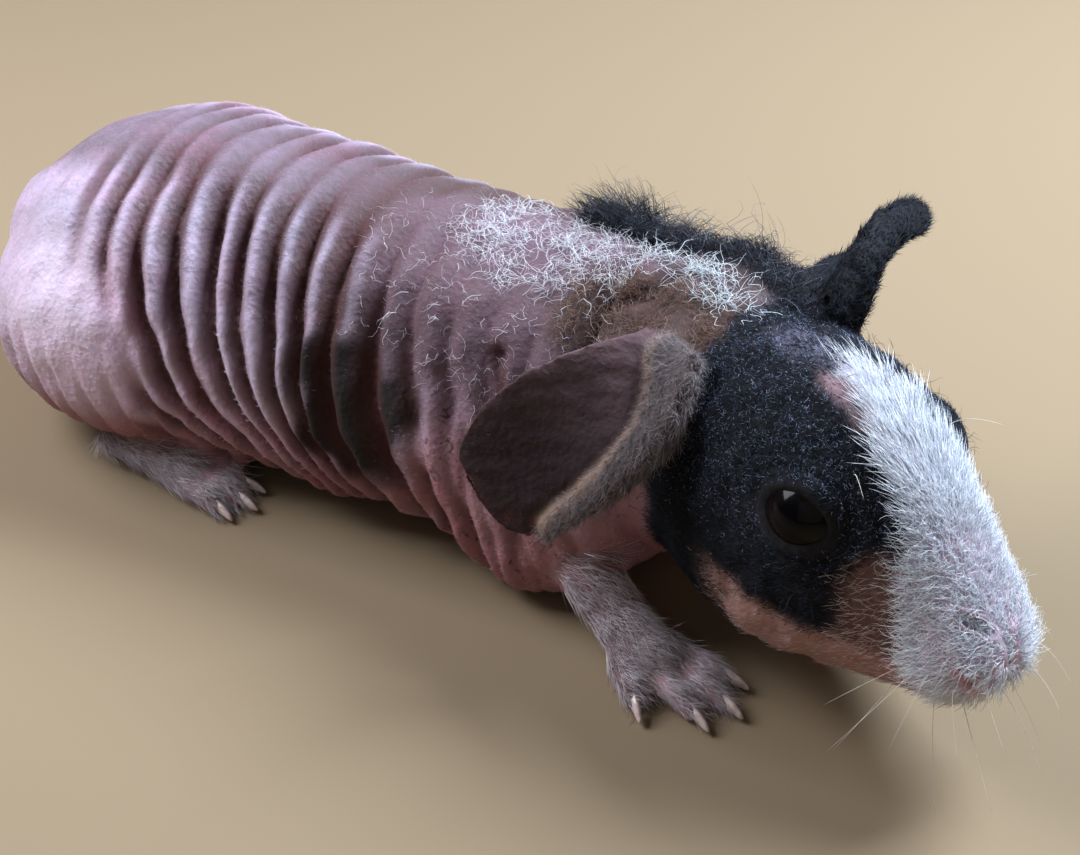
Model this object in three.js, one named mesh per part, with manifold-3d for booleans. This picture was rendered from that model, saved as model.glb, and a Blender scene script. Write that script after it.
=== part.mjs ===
// A hairless guinea pig pup, a few days old, crouching with its head turned to its right.
// Millimetres, +X towards the nose, +Y to the animal's left, +Z up, floor at Z = 0.
import * as THREE from 'three';
import { mergeVertices } from 'three/addons/utils/BufferGeometryUtils.js';
import Module from 'manifold-3d';

const wasm = await Module();
wasm.setup();

// Driving dimensions
const gap = 0.3; // between any two neighbouring pieces
const ringPoints = 32; // vertices round the body
const rumpX = -60.7; // rearmost point of the body
const valleys = [-44.6, -41.2, -37.8, -34.4, -29.9, -26.6, -22.6, -19.4, -15.1, -10.2, -6.4, -2.4, 2, 6.8, 11.5, 15.2];
const foldDepth = 1.2; // deepest valley between two folds
const foldSweep = { rear: 12.5, front: 6.5, reach: 2 }; // how far the folds run forwards towards the belly
const head = { at: [32.2, -7.6, 18], turn: -23 }; // middle of the head, turned to the right, degrees
const eye = { at: [6.6, -6.4, 4.4], radius: 4, looks: [0.25, -0.94, 0.24] }; // in the head's own frame, right side
const toeRadius = 1.15;
const clawLength = 2.6;
const clawRadius = 0.5;

const colours = {
  skin: { color: 0xa88088, roughness: 0.7 },
  dark: { color: 0x1d1c22, roughness: 0.75 },
  ear: { color: 0x3a3036, roughness: 0.65 },
  foot: { color: 0xa07c7c, roughness: 0.75 },
  eye: { color: 0x070608, roughness: 0.08 },
  claw: { color: 0xcdb4b4, roughness: 0.35 },
};
const material = (name) => new THREE.MeshStandardMaterial({ ...colours[name], metalness: 0 });

const smooth = (low, high, value) => THREE.MathUtils.smoothstep(value, low, high);
const bell = (distance, width) => Math.exp(-((distance / width) ** 2));
const point = (xyz) => new THREE.Vector3(...xyz);
const mirror = ([x, y, z]) => [x, -y, z];

// Solids for cutting and joining

function solidOf(geometry) {
  const plain = geometry.clone();
  plain.deleteAttribute('normal');
  plain.deleteAttribute('uv');
  const merged = mergeVertices(plain, 1e-4);
  return new wasm.Manifold(new wasm.Mesh({
    numProp: 3,
    vertProperties: new Float32Array(merged.attributes.position.array),
    triVerts: new Uint32Array(merged.index.array),
  }));
}

const joined = (solids) => solids.reduce((whole, piece) => whole.add(piece));

const largestBody = (solid) =>
  solid.decompose().reduce((most, piece) => (piece.volume() > most.volume() ? piece : most));

function meshOf(name, solid, materialName) {
  const made = largestBody(solid).getMesh();
  const positions = new Float32Array(made.numVert * 3);
  for (let i = 0; i < made.numVert; i++) {
    const start = i * made.numProp;
    positions.set(made.vertProperties.subarray(start, start + 3), i * 3);
  }
  const geometry = new THREE.BufferGeometry();
  geometry.setAttribute('position', new THREE.BufferAttribute(positions, 3));
  geometry.setIndex(new THREE.BufferAttribute(new Uint32Array(made.triVerts), 1));
  geometry.computeVertexNormals();
  const mesh = new THREE.Mesh(geometry, material(materialName));
  mesh.name = name;
  return mesh;
}

// A closed surface from a grid of points: closed round each ring, with a point at either end.
function closedTube(rings, startPoint, endPoint) {
  const round = rings[0].length;
  const points = [startPoint, ...rings.flat(), endPoint];
  const at = (ring, i) => 1 + ring * round + (i % round);
  const faces = [];
  for (let i = 0; i < round; i++) {
    faces.push(0, at(0, i), at(0, i + 1));
    for (let ring = 0; ring + 1 < rings.length; ring++) {
      faces.push(at(ring, i), at(ring + 1, i + 1), at(ring, i + 1));
      faces.push(at(ring, i), at(ring + 1, i), at(ring + 1, i + 1));
    }
    faces.push(at(rings.length - 1, i + 1), at(rings.length - 1, i), points.length - 1);
  }
  const geometry = new THREE.BufferGeometry().setFromPoints(points);
  geometry.setIndex(faces);
  return geometry;
}

function boxSolid(size, centre, turnDegrees = 0) {
  const geometry = new THREE.BoxGeometry(...size);
  geometry.rotateZ(THREE.MathUtils.degToRad(turnDegrees));
  geometry.translate(...centre);
  return solidOf(geometry);
}

function ellipsoidSolid(centre, radii, grow = 0, turnDegrees = 0, segments = 28) {
  const geometry = new THREE.SphereGeometry(1, segments, segments / 2);
  geometry.scale(...radii.map((radius) => radius + grow));
  geometry.rotateZ(THREE.MathUtils.degToRad(turnDegrees));
  geometry.translate(...centre);
  return solidOf(geometry);
}

// A limb segment with round ends, one radius at each end, flattened by the given share of its height.
function limbSolid(from, to, radiusFrom, radiusTo, grow = 0, segments = 12, capSteps = 3) {
  const start = point(from);
  const along = point(to).sub(start);
  const length = along.length();
  const [low, high] = [radiusFrom + grow, radiusTo + grow];
  const profile = [];
  for (let i = 0; i <= capSteps; i++) {
    const angle = (i / capSteps) * Math.PI / 2;
    profile.push(new THREE.Vector2(low * Math.sin(angle), -low * Math.cos(angle)));
  }
  for (let i = 0; i <= capSteps; i++) {
    const angle = (i / capSteps) * Math.PI / 2;
    profile.push(new THREE.Vector2(high * Math.cos(angle), length + high * Math.sin(angle)));
  }
  profile[0].x = 0;
  profile[profile.length - 1].x = 0;
  const geometry = new THREE.LatheGeometry(profile, segments);
  const turn = new THREE.Quaternion().setFromUnitVectors(new THREE.Vector3(0, 1, 0), along.normalize());
  geometry.applyQuaternion(turn);
  geometry.translate(...from);
  return solidOf(geometry);
}

// The body: vertical rings along a spine that turns to the right at the neck

const headTurn = THREE.MathUtils.degToRad(head.turn);
function fromHead([x, y, z]) {
  return [
    head.at[0] + x * Math.cos(headTurn) - y * Math.sin(headTurn),
    head.at[1] + x * Math.sin(headTurn) + y * Math.cos(headTurn),
    head.at[2] + z,
  ];
}

// Each station: [distance along the spine, half width, top, widest height, underside]
const trunkStations = [
  [-60.4, 2.5, 14.6, 11.5, 8.6],
  [-59.2, 7, 19, 11.8, 5.2],
  [-55.5, 12.2, 24.6, 12.4, 1.8],
  [-49, 16, 29, 12.8, 0.4],
  [-40, 17.5, 31.5, 12.8, -0.3],
  [-29, 17.6, 31.8, 12.5, -0.5],
  [-16, 17.4, 31.2, 12.5, -0.6],
  [-5, 17, 31.2, 12.3, -0.6],
  [5, 16.8, 31.6, 12.2, -0.5],
  [12.5, 15.8, 31.6, 12.8, 0.4],
  [20, 13.8, 31, 15, 4],
];
const headStations = [
  [-9, 11.6, 30.8, 17, 7],
  [-3, 11.3, 31.8, 17.5, 6.4],
  [3, 10.5, 32.2, 18, 5.8],
  [8, 9.4, 31, 17.5, 5.4],
  [12, 7.9, 28.4, 16.2, 5.7],
  [16, 6.4, 24.8, 14.8, 6.6],
  [19, 5.5, 21.4, 14, 7.8],
  [21.3, 4.7, 18.6, 13.6, 9.2],
  [23, 3.7, 16.6, 13.4, 10.7],
  [24, 2.3, 15.4, 13.3, 11.8],
];
const neckX = 20; // where the straight part of the spine ends
const headBackX = -9; // where the head's straight axis begins, in the head's frame
const neckLength = point(fromHead([headBackX, 0, 0])).distanceTo(new THREE.Vector3(neckX, -2.4, head.at[2]));
const headStart = neckX + neckLength;
const stations = [
  ...trunkStations,
  ...headStations.map(([x, ...sizes]) => [headStart + x - headBackX, ...sizes]),
];
const noseEnd = stations[stations.length - 1][0];

const spine = new THREE.CatmullRomCurve3([
  new THREE.Vector3(-62, 0, 0),
  new THREE.Vector3(-30, 0, 0),
  new THREE.Vector3(0, 0, 0),
  new THREE.Vector3(11, -0.5, 0),
  new THREE.Vector3(neckX, -2.4, 0),
  new THREE.Vector3(...fromHead([headBackX, 0, -head.at[2]])),
  new THREE.Vector3(...fromHead([8, 0, -head.at[2]])),
  new THREE.Vector3(...fromHead([27, 0, -head.at[2]])),
], false, 'centripetal');
const spineStart = -62;

function spineAt(distance) {
  const share = THREE.MathUtils.clamp((distance - spineStart) / spine.getLength(), 0, 1);
  const along = spine.getTangentAt(share);
  return { centre: spine.getPointAt(share), side: new THREE.Vector3(-along.y, along.x, 0).normalize(), along };
}

function sizesAt(distance) {
  let i = stations.findIndex((station) => station[0] > distance);
  if (i < 0) i = stations.length - 1;
  if (i === 0) i = 1;
  const around = [i - 2, i - 1, i, i + 1].map((k) => stations[THREE.MathUtils.clamp(k, 0, stations.length - 1)]);
  const [before, from, to, after] = around;
  const span = to[0] - from[0];
  const t = THREE.MathUtils.clamp((distance - from[0]) / span, 0, 1);
  const slope = (low, high, k) => (high[0] === low[0] ? 0 : (high[k] - low[k]) / (high[0] - low[0]));
  return [1, 2, 3, 4].map((k) => {
    const [m0, m1] = [slope(before, to, k) * span, slope(from, after, k) * span];
    const [t2, t3] = [t * t, t * t * t];
    return (2 * t3 - 3 * t2 + 1) * from[k] + (t3 - 2 * t2 + t) * m0 + (3 * t2 - 2 * t3) * to[k] + (t3 - t2) * m1;
  });
}

// Swellings of flesh under the skin: centre, reach and height
const swellings = [
  { at: [-43, -15, 15], reach: 11, height: 2.6 }, // right thigh
  { at: [-43, 15, 15], reach: 11, height: 2.6 },
  { at: [9, -12, 3], reach: 7.5, height: 4.6 }, // right side of the chest
  { at: [9, 12, 3], reach: 7.5, height: 4.6 },
  { at: [22, 5, 29], reach: 6.5, height: 2.4 }, // stretched side of the nape
  { at: fromHead([3, -8.5, -8]), reach: 7, height: 1.9 }, // right cheek and jaw
  { at: fromHead([3, 8.5, -8]), reach: 7, height: 1.9 },
  { at: fromHead([20.5, -5, -5.5]), reach: 3.2, height: 0.8 }, // whisker pads
  { at: fromHead([20.5, 5, -5.5]), reach: 3.2, height: 0.8 },
];

// Loose skin lies in folds with a narrow valley at each place in the list of valleys. They are deepest on
// the flanks, shallow along the back and on the belly, and stretched smooth over the thigh.
function foldHollow(distance, fromBack, place) {
  const next = valleys.findIndex((valley) => valley > distance);
  if (next < 1) return 0;
  const [from, to] = [valleys[next - 1], valleys[next]];
  const hollow = 1 - Math.sin((Math.PI * (distance - from)) / (to - from)) ** 0.55;
  const isNape = distance > 9;
  const down = isNape ? 1 - smooth(0.7, 1.3, fromBack)
    : (0.3 + 0.7 * smooth(0.15, 0.8, fromBack)) * (1 - 0.8 * smooth(2.2, 2.8, fromBack));
  const along = isNape ? 0.7 : smooth(valleys[0] - 1, valleys[2], distance) * (1 - 0.6 * smooth(-10, 2, distance));
  const uneven = 0.75 + 0.25 * Math.sin(2.4 * next + 2.1 * fromBack);
  const thigh = new THREE.Vector3(-43, Math.sign(place.y) * 17, 16);
  return foldDepth * hollow * down * along * uneven * (1 - 0.95 * bell(place.distanceTo(thigh), 9.5));
}

function sweepOf(distance, fromBack) {
  const most = foldSweep.rear + (foldSweep.front - foldSweep.rear) * smooth(-32, -14, distance);
  const along = smooth(-58, -42, distance) * (1 - smooth(-4, 12, distance));
  return most * along * (Math.min(fromBack, 2.1) / foldSweep.reach) ** 2;
}

function bodyPoint(ringDistance, angle, grow) {
  const fromBack = Math.PI - Math.abs(Math.PI - angle); // 0 along the back, pi along the belly
  const distance = ringDistance + sweepOf(ringDistance, fromBack);
  const { centre, side } = spineAt(distance);
  const [half, top, middle, bottom] = sizesAt(distance);
  const across = Math.sin(angle);
  const up = Math.cos(angle);
  const squareness = up < 0 ? 2 / 2.5 : 2 / 2.1;
  const outX = Math.sign(across) * Math.abs(across) ** squareness * half;
  const outZ = Math.sign(up) * Math.abs(up) ** squareness * (up > 0 ? top - middle : middle - bottom);
  const place = centre.clone().addScaledVector(side, outX);
  place.z = middle + outZ;
  const outwards = side.clone().multiplyScalar(outX / half ** 2);
  outwards.z = outZ / (up > 0 ? top - middle : middle - bottom) ** 2;
  outwards.normalize();
  let out = grow - foldHollow(ringDistance, fromBack, place);
  for (const { at, reach, height } of swellings) out += height * bell(place.distanceTo(point(at)), reach);
  place.addScaledVector(outwards, out);
  place.z = Math.max(place.z, -grow);
  return place;
}

function fleshSolid(grow = 0) {
  const distances = [-60.3, -59.7, -58.5, -56.8, -54.6, -52, -49.2, -46.8];
  const ringsPerFold = 4;
  for (let i = 0; i + 1 < valleys.length; i++) {
    for (let k = 0; k < ringsPerFold; k++) {
      distances.push(valleys[i] + ((valleys[i + 1] - valleys[i]) * k) / ringsPerFold);
    }
  }
  const lastValley = valleys[valleys.length - 1];
  distances.push(lastValley);
  const noseTaper = 6;
  const frontStep = 2;
  for (let d = lastValley + 1; d < noseEnd - noseTaper; d += frontStep) distances.push(d);
  for (let d = noseEnd - noseTaper + 0.4; d < noseEnd; d += 1.1) distances.push(d);
  const rings = distances.map((distance) => Array.from({ length: ringPoints }, (_, i) =>
    bodyPoint(distance, (i / ringPoints) * Math.PI * 2, grow)));
  const rump = new THREE.Vector3(rumpX - grow, 0, 11.5);
  const nose = point(fromHead([24.4 + grow, 0, -4.7]));
  return solidOf(closedTube(rings, rump, nose));
}

// Feet: a flattened sole with toes, cut flat where they stand

function footSolid(foot, grow = 0) {
  const { ankle, knuckles, toes, soleRadius, toeBend } = foot;
  const pieces = [limbSolid(ankle, knuckles, soleRadius[0], soleRadius[1], grow, 10, 2)];
  for (const toe of toes) {
    const [root, tip] = [point(toe.root), point(toe.tip)];
    const bend = root.clone().lerp(tip, 0.5);
    bend.z += toeBend;
    pieces.push(limbSolid(ankle, toe.root, soleRadius[0] * 0.7, toeRadius + 0.35, grow, 6, 1));
    pieces.push(limbSolid(toe.root, bend.toArray(), toeRadius + 0.25, toeRadius, grow, 7, 1));
    pieces.push(limbSolid(bend.toArray(), toe.tip, toeRadius, toeRadius - 0.2, grow, 7, 2));
  }
  const floorLevel = grow ? -grow : 0;
  return joined(pieces).intersect(boxSolid([80, 80, 40], [toes[0].tip[0], toes[0].tip[1], floorLevel + 20]));
}

// A claw curves down from the tip of its toe
function clawSolid(toe) {
  const tip = point(toe.tip);
  const along = tip.clone().sub(point(toe.root)).setZ(0).normalize();
  const side = new THREE.Vector3(-along.y, along.x, 0);
  const round = 7;
  const centre = (share) => {
    const place = tip.clone().addScaledVector(along, toeRadius * 0.3 + share * clawLength);
    place.z = 1.25 - 0.75 * share ** 1.6;
    return place;
  };
  const rings = [0, 0.4, 0.8].map((share) => Array.from({ length: round }, (_, i) => {
    const angle = (i / round) * Math.PI * 2;
    const radius = clawRadius * (1.15 - 0.72 * share ** 2);
    const place = centre(share).addScaledVector(side, radius * 0.85 * Math.sin(angle));
    place.z += radius * 1.2 * Math.cos(angle);
    return place;
  }));
  return solidOf(closedTube(rings, centre(0), centre(1)));
}

const foreToes = [
  { root: [21.5, -20.8, 1.2], tip: [23.6, -23.2, 0.75] },
  { root: [24.6, -20.2, 1.3], tip: [28.6, -22.1, 0.75] },
  { root: [25.8, -18.2, 1.3], tip: [30.4, -19.6, 0.75] },
  { root: [25, -16.4, 1.2], tip: [29.2, -16.6, 0.75] },
];
const hindToes = [
  { root: [-28.8, -18, 1.2], tip: [-25.4, -18.9, 0.75] },
  { root: [-28.2, -16.4, 1.25], tip: [-24.2, -16.8, 0.75] },
  { root: [-28.8, -14.8, 1.2], tip: [-25.2, -14.5, 0.75] },
];
const feet = {
  fore: { ankle: [18.6, -16.6, 3.3], knuckles: [23.4, -18.6, 1.9], soleRadius: [2.7, 2.3], toeBend: 0.5, toes: foreToes },
  hind: { ankle: [-40, -15.4, 2.1], knuckles: [-30.5, -16.2, 1.7], soleRadius: [2.4, 2.1], toeBend: 0.5, toes: hindToes },
};
const forearm = { elbow: [9.5, -11.8, 8.5], wrist: [18.6, -16.6, 3.3], radii: [4.2, 2.8] };

function otherSide(foot) {
  return {
    ...foot,
    ankle: mirror(foot.ankle),
    knuckles: mirror(foot.knuckles),
    toes: foot.toes.map(({ root, tip }) => ({ root: mirror(root), tip: mirror(tip) })),
  };
}

// Ears: a petal from a short root to a wide margin, with its thick front edge rolled

const ears = {
  right: {
    front: [[-6.9, -6.4, 10.6], [-2.4, -13.4, 6.4], [-11.2, -18.6, -3.4]],
    rear: [[-13.6, -6, 10.8], [-15.2, -14, 13.2], [-20.6, -22.2, 8.4], [-20.6, -22.8, 0.6]],
    outAtEnd: [0.2, -0.35, -0.9],
    cupped: [-0.6, 0.45, -0.65],
  },
  left: {
    front: [[-3.2, 5.6, 12.6], [-6.4, 11.6, 20.8], [-10.2, 23, 13.8]],
    rear: [[-11.5, 8.2, 10.6], [-14.2, 14.6, 10.6], [-15.4, 20, 8.4], [-16, 22.6, 6.2]],
    outAtEnd: [-0.4, 0.85, -0.3],
    cupped: [0.3, 0.3, -0.9],
  },
};
const earBulge = 1.6; // how far the petal's middle is cupped
const earEndRound = 3.2; // how far the margin rounds out past a straight line

function earSolid(shape) {
  const columns = 9;
  const rows = 11;
  const front = new THREE.QuadraticBezierCurve3(...shape.front.map(point));
  const rear = new THREE.CubicBezierCurve3(...shape.rear.map(point));
  const outAtEnd = point(shape.outAtEnd).normalize();
  const cupped = point(shape.cupped).normalize();
  const middle = (u, v) => {
    const place = front.getPoint(v).lerp(rear.getPoint(v), u);
    place.addScaledVector(outAtEnd, earEndRound * Math.sin(Math.PI * u) * v ** 3);
    return place.addScaledVector(cupped, earBulge * Math.sin(Math.PI * u) * Math.sin(Math.PI * Math.min(v, 0.9)));
  };
  const halfThickness = (u, v) => 0.42 + 0.95 * (1 - smooth(0.05, 0.3, u)) * (1 - 0.45 * v)
    + 0.5 * (1 - smooth(0, 0.4, v)) - 0.12 * smooth(0.85, 1, v);
  const faces = [[], []];
  for (let row = 0; row <= rows; row++) {
    for (let column = 0; column <= columns; column++) {
      const [u, v] = [column / columns, row / rows];
      const step = 0.01;
      const alongU = middle(Math.min(u + step, 1), v).sub(middle(Math.max(u - step, 0), v));
      const alongV = middle(u, Math.min(v + step, 1)).sub(middle(u, Math.max(v - step, 0)));
      const normal = alongU.cross(alongV).normalize();
      for (const side of [0, 1]) {
        faces[side].push(middle(u, v).addScaledVector(normal, (side ? -1 : 1) * halfThickness(u, v)));
      }
    }
  }
  const points = [...faces[0], ...faces[1]];
  const at = (side, row, column) => side * faces[0].length + row * (columns + 1) + column;
  const triangles = [];
  const quad = (a, b, c, d) => triangles.push(a, b, c, a, c, d);
  for (let row = 0; row < rows; row++) {
    for (let column = 0; column < columns; column++) {
      const corners = (side) => [at(side, row, column), at(side, row, column + 1), at(side, row + 1, column + 1), at(side, row + 1, column)];
      quad(...corners(0));
      const [a, b, c, d] = corners(1);
      triangles.push(a, c, b, a, d, c);
    }
    quad(at(0, row, 0), at(0, row + 1, 0), at(1, row + 1, 0), at(1, row, 0));
    quad(at(0, row + 1, columns), at(0, row, columns), at(1, row, columns), at(1, row + 1, columns));
  }
  for (let column = 0; column < columns; column++) {
    quad(at(0, 0, column + 1), at(0, 0, column), at(1, 0, column), at(1, 0, column + 1));
    quad(at(0, rows, column), at(0, rows, column + 1), at(1, rows, column + 1), at(1, rows, column));
  }
  const placed = points.map((place) => point(fromHead(place.toArray())));
  const geometry = new THREE.BufferGeometry().setFromPoints(placed);
  geometry.setIndex(triangles);
  const solid = solidOf(geometry);
  if (solid.volume() > 0) return solid;
  geometry.setIndex(triangles.toReversed());
  return solidOf(geometry);
}

// Head details: lids round each eye, the mouth line and the nostrils

function eyeCentre(isRight) {
  return fromHead(isRight ? eye.at : mirror(eye.at));
}

const eyeSolid = (isRight, grow = 0) =>
  ellipsoidSolid(eyeCentre(isRight), [eye.radius, eye.radius, eye.radius], grow, 0, 20);

// Lids: a shell over the eyeball with an almond opening that looks sideways
function lidsSolid(isRight) {
  const thickness = 0.7;
  const openingHalf = [3.3, 2.5];
  const shell = ellipsoidSolid(eyeCentre(isRight), [1, 1, 1].map(() => eye.radius + thickness), 0, 0, 16);
  const opening = new THREE.CylinderGeometry(1, 1, 8, 20);
  opening.scale(openingHalf[0], 1, openingHalf[1]);
  const turn = Math.atan2(eye.looks[0], -eye.looks[1]);
  const rise = Math.asin(eye.looks[2]);
  opening.rotateX(isRight ? -rise : rise);
  opening.rotateZ((isRight ? turn : -turn) + headTurn);
  const looks = isRight ? eye.looks : mirror(eye.looks);
  opening.translate(...fromHead((isRight ? eye.at : mirror(eye.at)).map((at, i) => at + looks[i] * 6)));
  return { shell, opening: solidOf(opening) };
}

// The mouth: a thin curved slit round the front of the muzzle, rising at its corners
function mouthSolid() {
  const pieces = [];
  const steps = 4;
  const place = (share) => {
    const across = share * 4.2;
    return fromHead([23.6 - 0.19 * across ** 2, across, -7.4 + 0.2 * across ** 2]);
  };
  for (let i = -steps; i < steps; i++) {
    pieces.push(limbSolid(place(i / steps), place((i + 1) / steps), 0.42, 0.42, 0, 6, 1));
  }
  return joined(pieces);
}

function nostrilSolid(isRight) {
  const sideways = isRight ? -1 : 1;
  return limbSolid(fromHead([20, sideways * 1.4, -1.9]), fromHead([22.4, sideways * 2.7, 0.5]), 0.6, 0.75, 0, 8, 2);
}

// Putting the animal together

const flesh = fleshSolid();
const grownFlesh = fleshSolid(gap);
const parts = [];
const addPart = (name, solid, materialName) => parts.push(meshOf(name, solid, materialName));

const sides = { right: true, left: false };
const footOf = (which, isRight) => (isRight ? feet[which] : otherSide(feet[which]));
const thighSolid = (isRight, grow = 0) =>
  ellipsoidSolid([-41, isRight ? -15.5 : 15.5, 14], [13.5, 8, 13.2], grow, 0, 18);

const bothFeet = (grow) => ['fore', 'hind'].flatMap((which) =>
  Object.values(sides).map((isRight) => footSolid(footOf(which, isRight), grow)));
let body = bothFeet(gap).reduce((whole, foot) => whole.subtract(foot), flesh);

// Cuts across the spine: everything in front of one slit and behind the next
const shoulderCut = 15;
const napeCut = headStart + 0.5;
function betweenCuts(from, to) {
  const slab = (distance, ahead) => {
    const { centre, along } = spineAt(distance);
    const turn = THREE.MathUtils.radToDeg(Math.atan2(along.y, along.x));
    const half = 60;
    const middle = centre.clone().addScaledVector(along, (ahead ? 1 : -1) * (half + gap / 2));
    return boxSolid([half * 2, 160, 160], [middle.x, middle.y, 20], turn);
  };
  let piece = body;
  if (from !== null) piece = piece.intersect(slab(from, true));
  if (to !== null) piece = piece.intersect(slab(to, false));
  return piece;
}

let torso = betweenCuts(null, shoulderCut);
for (const [side, isRight] of Object.entries(sides)) {
  addPart(`hind_leg_${side}`, torso.intersect(thighSolid(isRight)), 'skin');
  torso = torso.subtract(thighSolid(isRight, gap));
}
addPart('torso', torso, 'skin');
addPart('neck', betweenCuts(shoulderCut, napeCut), 'skin');

let skull = betweenCuts(napeCut, null);
for (const isRight of Object.values(sides)) {
  const { shell, opening } = lidsSolid(isRight);
  skull = skull.add(shell).subtract(opening).subtract(eyeSolid(isRight, gap)).subtract(nostrilSolid(isRight));
}
addPart('head', skull.subtract(mouthSolid()), 'dark');

for (const [side, isRight] of Object.entries(sides)) {
  addPart(`eye_${side}`, eyeSolid(isRight), 'eye');
  addPart(`ear_${side}`, earSolid(ears[side]).subtract(grownFlesh), 'ear');
  const arm = isRight ? forearm : { ...forearm, elbow: mirror(forearm.elbow), wrist: mirror(forearm.wrist) };
  const armSolid = limbSolid(arm.elbow, arm.wrist, ...arm.radii);
  const foreFoot = footOf('fore', isRight);
  addPart(`foreleg_${side}`, armSolid.subtract(grownFlesh).subtract(footSolid(foreFoot, gap)), 'foot');
  for (const which of ['fore', 'hind']) {
    const foot = footOf(which, isRight);
    addPart(`${which}_foot_${side}`, footSolid(foot), 'foot');
    foot.toes.forEach((toe, i) => {
      addPart(`${which}_claw_${side}_${i + 1}`, clawSolid(toe).subtract(footSolid(foot, gap)), 'claw');
    });
  }
}

const animal = new THREE.Group();
animal.add(...parts);

// The origin is the middle of the bounding box, on the floor.
const box = new THREE.Box3().setFromObject(animal);
const middle = box.getCenter(new THREE.Vector3());
animal.position.set(-middle.x, -middle.y, 0);

export default animal;
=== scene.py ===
import math

import bpy
import numpy as np
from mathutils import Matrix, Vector
from mathutils.bvhtree import BVHTree
from mathutils.kdtree import KDTree


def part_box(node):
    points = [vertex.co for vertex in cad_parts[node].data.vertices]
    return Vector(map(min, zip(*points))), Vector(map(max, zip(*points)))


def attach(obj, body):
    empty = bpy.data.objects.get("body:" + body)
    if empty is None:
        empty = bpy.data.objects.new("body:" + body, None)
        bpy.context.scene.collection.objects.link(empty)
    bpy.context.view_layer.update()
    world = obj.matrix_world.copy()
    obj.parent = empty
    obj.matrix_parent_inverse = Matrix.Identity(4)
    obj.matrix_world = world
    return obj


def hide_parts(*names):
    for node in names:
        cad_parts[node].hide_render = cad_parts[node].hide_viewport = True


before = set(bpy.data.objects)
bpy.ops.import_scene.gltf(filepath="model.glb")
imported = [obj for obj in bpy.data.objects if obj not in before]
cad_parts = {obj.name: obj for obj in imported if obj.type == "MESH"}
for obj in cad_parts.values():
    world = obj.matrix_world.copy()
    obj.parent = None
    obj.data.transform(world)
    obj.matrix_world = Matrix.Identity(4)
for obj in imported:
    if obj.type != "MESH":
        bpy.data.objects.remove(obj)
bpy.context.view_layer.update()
millimetre = 0.001
fullTurn = 6.28

# The animal's own measures are in millimetres: nose towards +X, its right side -Y, floor at 0
head = {"at": (32.2, -7.6, 18.0), "turn": -23.0}
eye = {"at": (6.6, -6.4, 4.4), "radius": 4.0, "looks": (0.25, -0.94, 0.24), "opening": (3.3, 2.5)}

turnCos, turnSin = math.cos(math.radians(head["turn"])), math.sin(math.radians(head["turn"]))
headAxes = np.array([[turnCos, turnSin, 0], [-turnSin, turnCos, 0], [0, 0, 1]])


def fromHead(points):
    return np.asarray(points, float) @ headAxes + np.array(head["at"])


def toHead(points):
    return (np.asarray(points, float) - np.array(head["at"])) @ headAxes.T


low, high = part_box("eye_right")
origin = np.array((low + high) / 2) - fromHead(eye["at"]) * millimetre


def toScene(points):
    return np.asarray(points, float) * millimetre + origin


def toModel(points):
    return (np.asarray(points, float) - origin) / millimetre


def mirrored(points):
    return np.asarray(points, float) * np.array([1, -1, 1])


def smooth(low, high, value):
    share = np.clip((np.asarray(value, float) - low) / (high - low), 0, 1)
    return share * share * (3 - 2 * share)


def bell(distance, width):
    return np.exp(-((distance / width) ** 2))


def unit(vectors):
    return vectors / (np.linalg.norm(vectors, axis=-1, keepdims=True) + 1e-12)


def wave(points, scale, seed):
    # A soft uneven field, about -1 to 1, made of a few slanted waves
    draw = np.random.RandomState(seed)
    total = np.zeros(len(points))
    for _ in range(5):
        direction = draw.normal(size=3)
        direction /= np.linalg.norm(direction)
        perLength = 2 * math.pi / (scale * draw.uniform(0.7, 1.5))
        total += np.sin(points @ direction * perLength + draw.uniform(0, fullTurn))
    return total / 3.2


def onOwnSide(points, place):
    # A place given for the left side, moved for each point to the side that the point is on
    side = np.where(points[:, 1] < 0, -1, 1)
    return np.stack([np.full(len(points), place[0]), side * place[1], np.full(len(points), place[2])], 1)


def gapToLine(points, places):
    # How far each point is from a bent line through the given places
    nearest = np.full(len(points), 1e9)
    for start, end in zip(places[:-1], places[1:]):
        start, end = np.array(start, float), np.array(end, float)
        step = end - start
        share = np.clip((points - start) @ step / (step @ step), 0, 1)[:, None]
        nearest = np.minimum(nearest, np.linalg.norm(points - start - share * step, axis=1))
    return nearest


# Camera

camera = {"azimuth": 29.0, "elevation": 36.0, "distance": 172.0, "target": (8.0, -12.0, 18.0), "sensor": 36}
camera["lens"] = 1900 / 1080 * camera["sensor"]


def addCamera():
    azimuth, elevation = math.radians(camera["azimuth"]), math.radians(camera["elevation"])
    level = math.cos(elevation)
    back = Vector((math.sin(azimuth) * level, -math.cos(azimuth) * level, math.sin(elevation)))
    place = Vector(camera["target"]) + back * camera["distance"]
    bpy.ops.object.camera_add(location=toScene(place), rotation=back.to_track_quat("Z", "Y").to_euler())
    made = bpy.context.object
    made.name = "camera"
    made.data.sensor_width = camera["sensor"]
    made.data.lens = camera["lens"]
    made.data.clip_start = 0.01
    bpy.context.scene.camera = made


addCamera()


# Working with meshes


def onlySelect(piece):
    bpy.ops.object.select_all(action="DESELECT")
    piece.select_set(True)
    bpy.context.view_layer.objects.active = piece


def applyModifier(piece, kind, **settings):
    onlySelect(piece)
    modifier = piece.modifiers.new(kind.lower(), kind)
    for name, value in settings.items():
        setattr(modifier, name, value)
    bpy.ops.object.modifier_apply(modifier=modifier.name)


def gathered(items, name, width, kind=float):
    # One value, or row of values, for each of a mesh's items
    found = np.empty(len(items) * width, kind)
    items.foreach_get(name, found)
    return found.reshape(-1, width)


def corners(piece):
    return gathered(piece.data.vertices, "co", 3)


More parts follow.
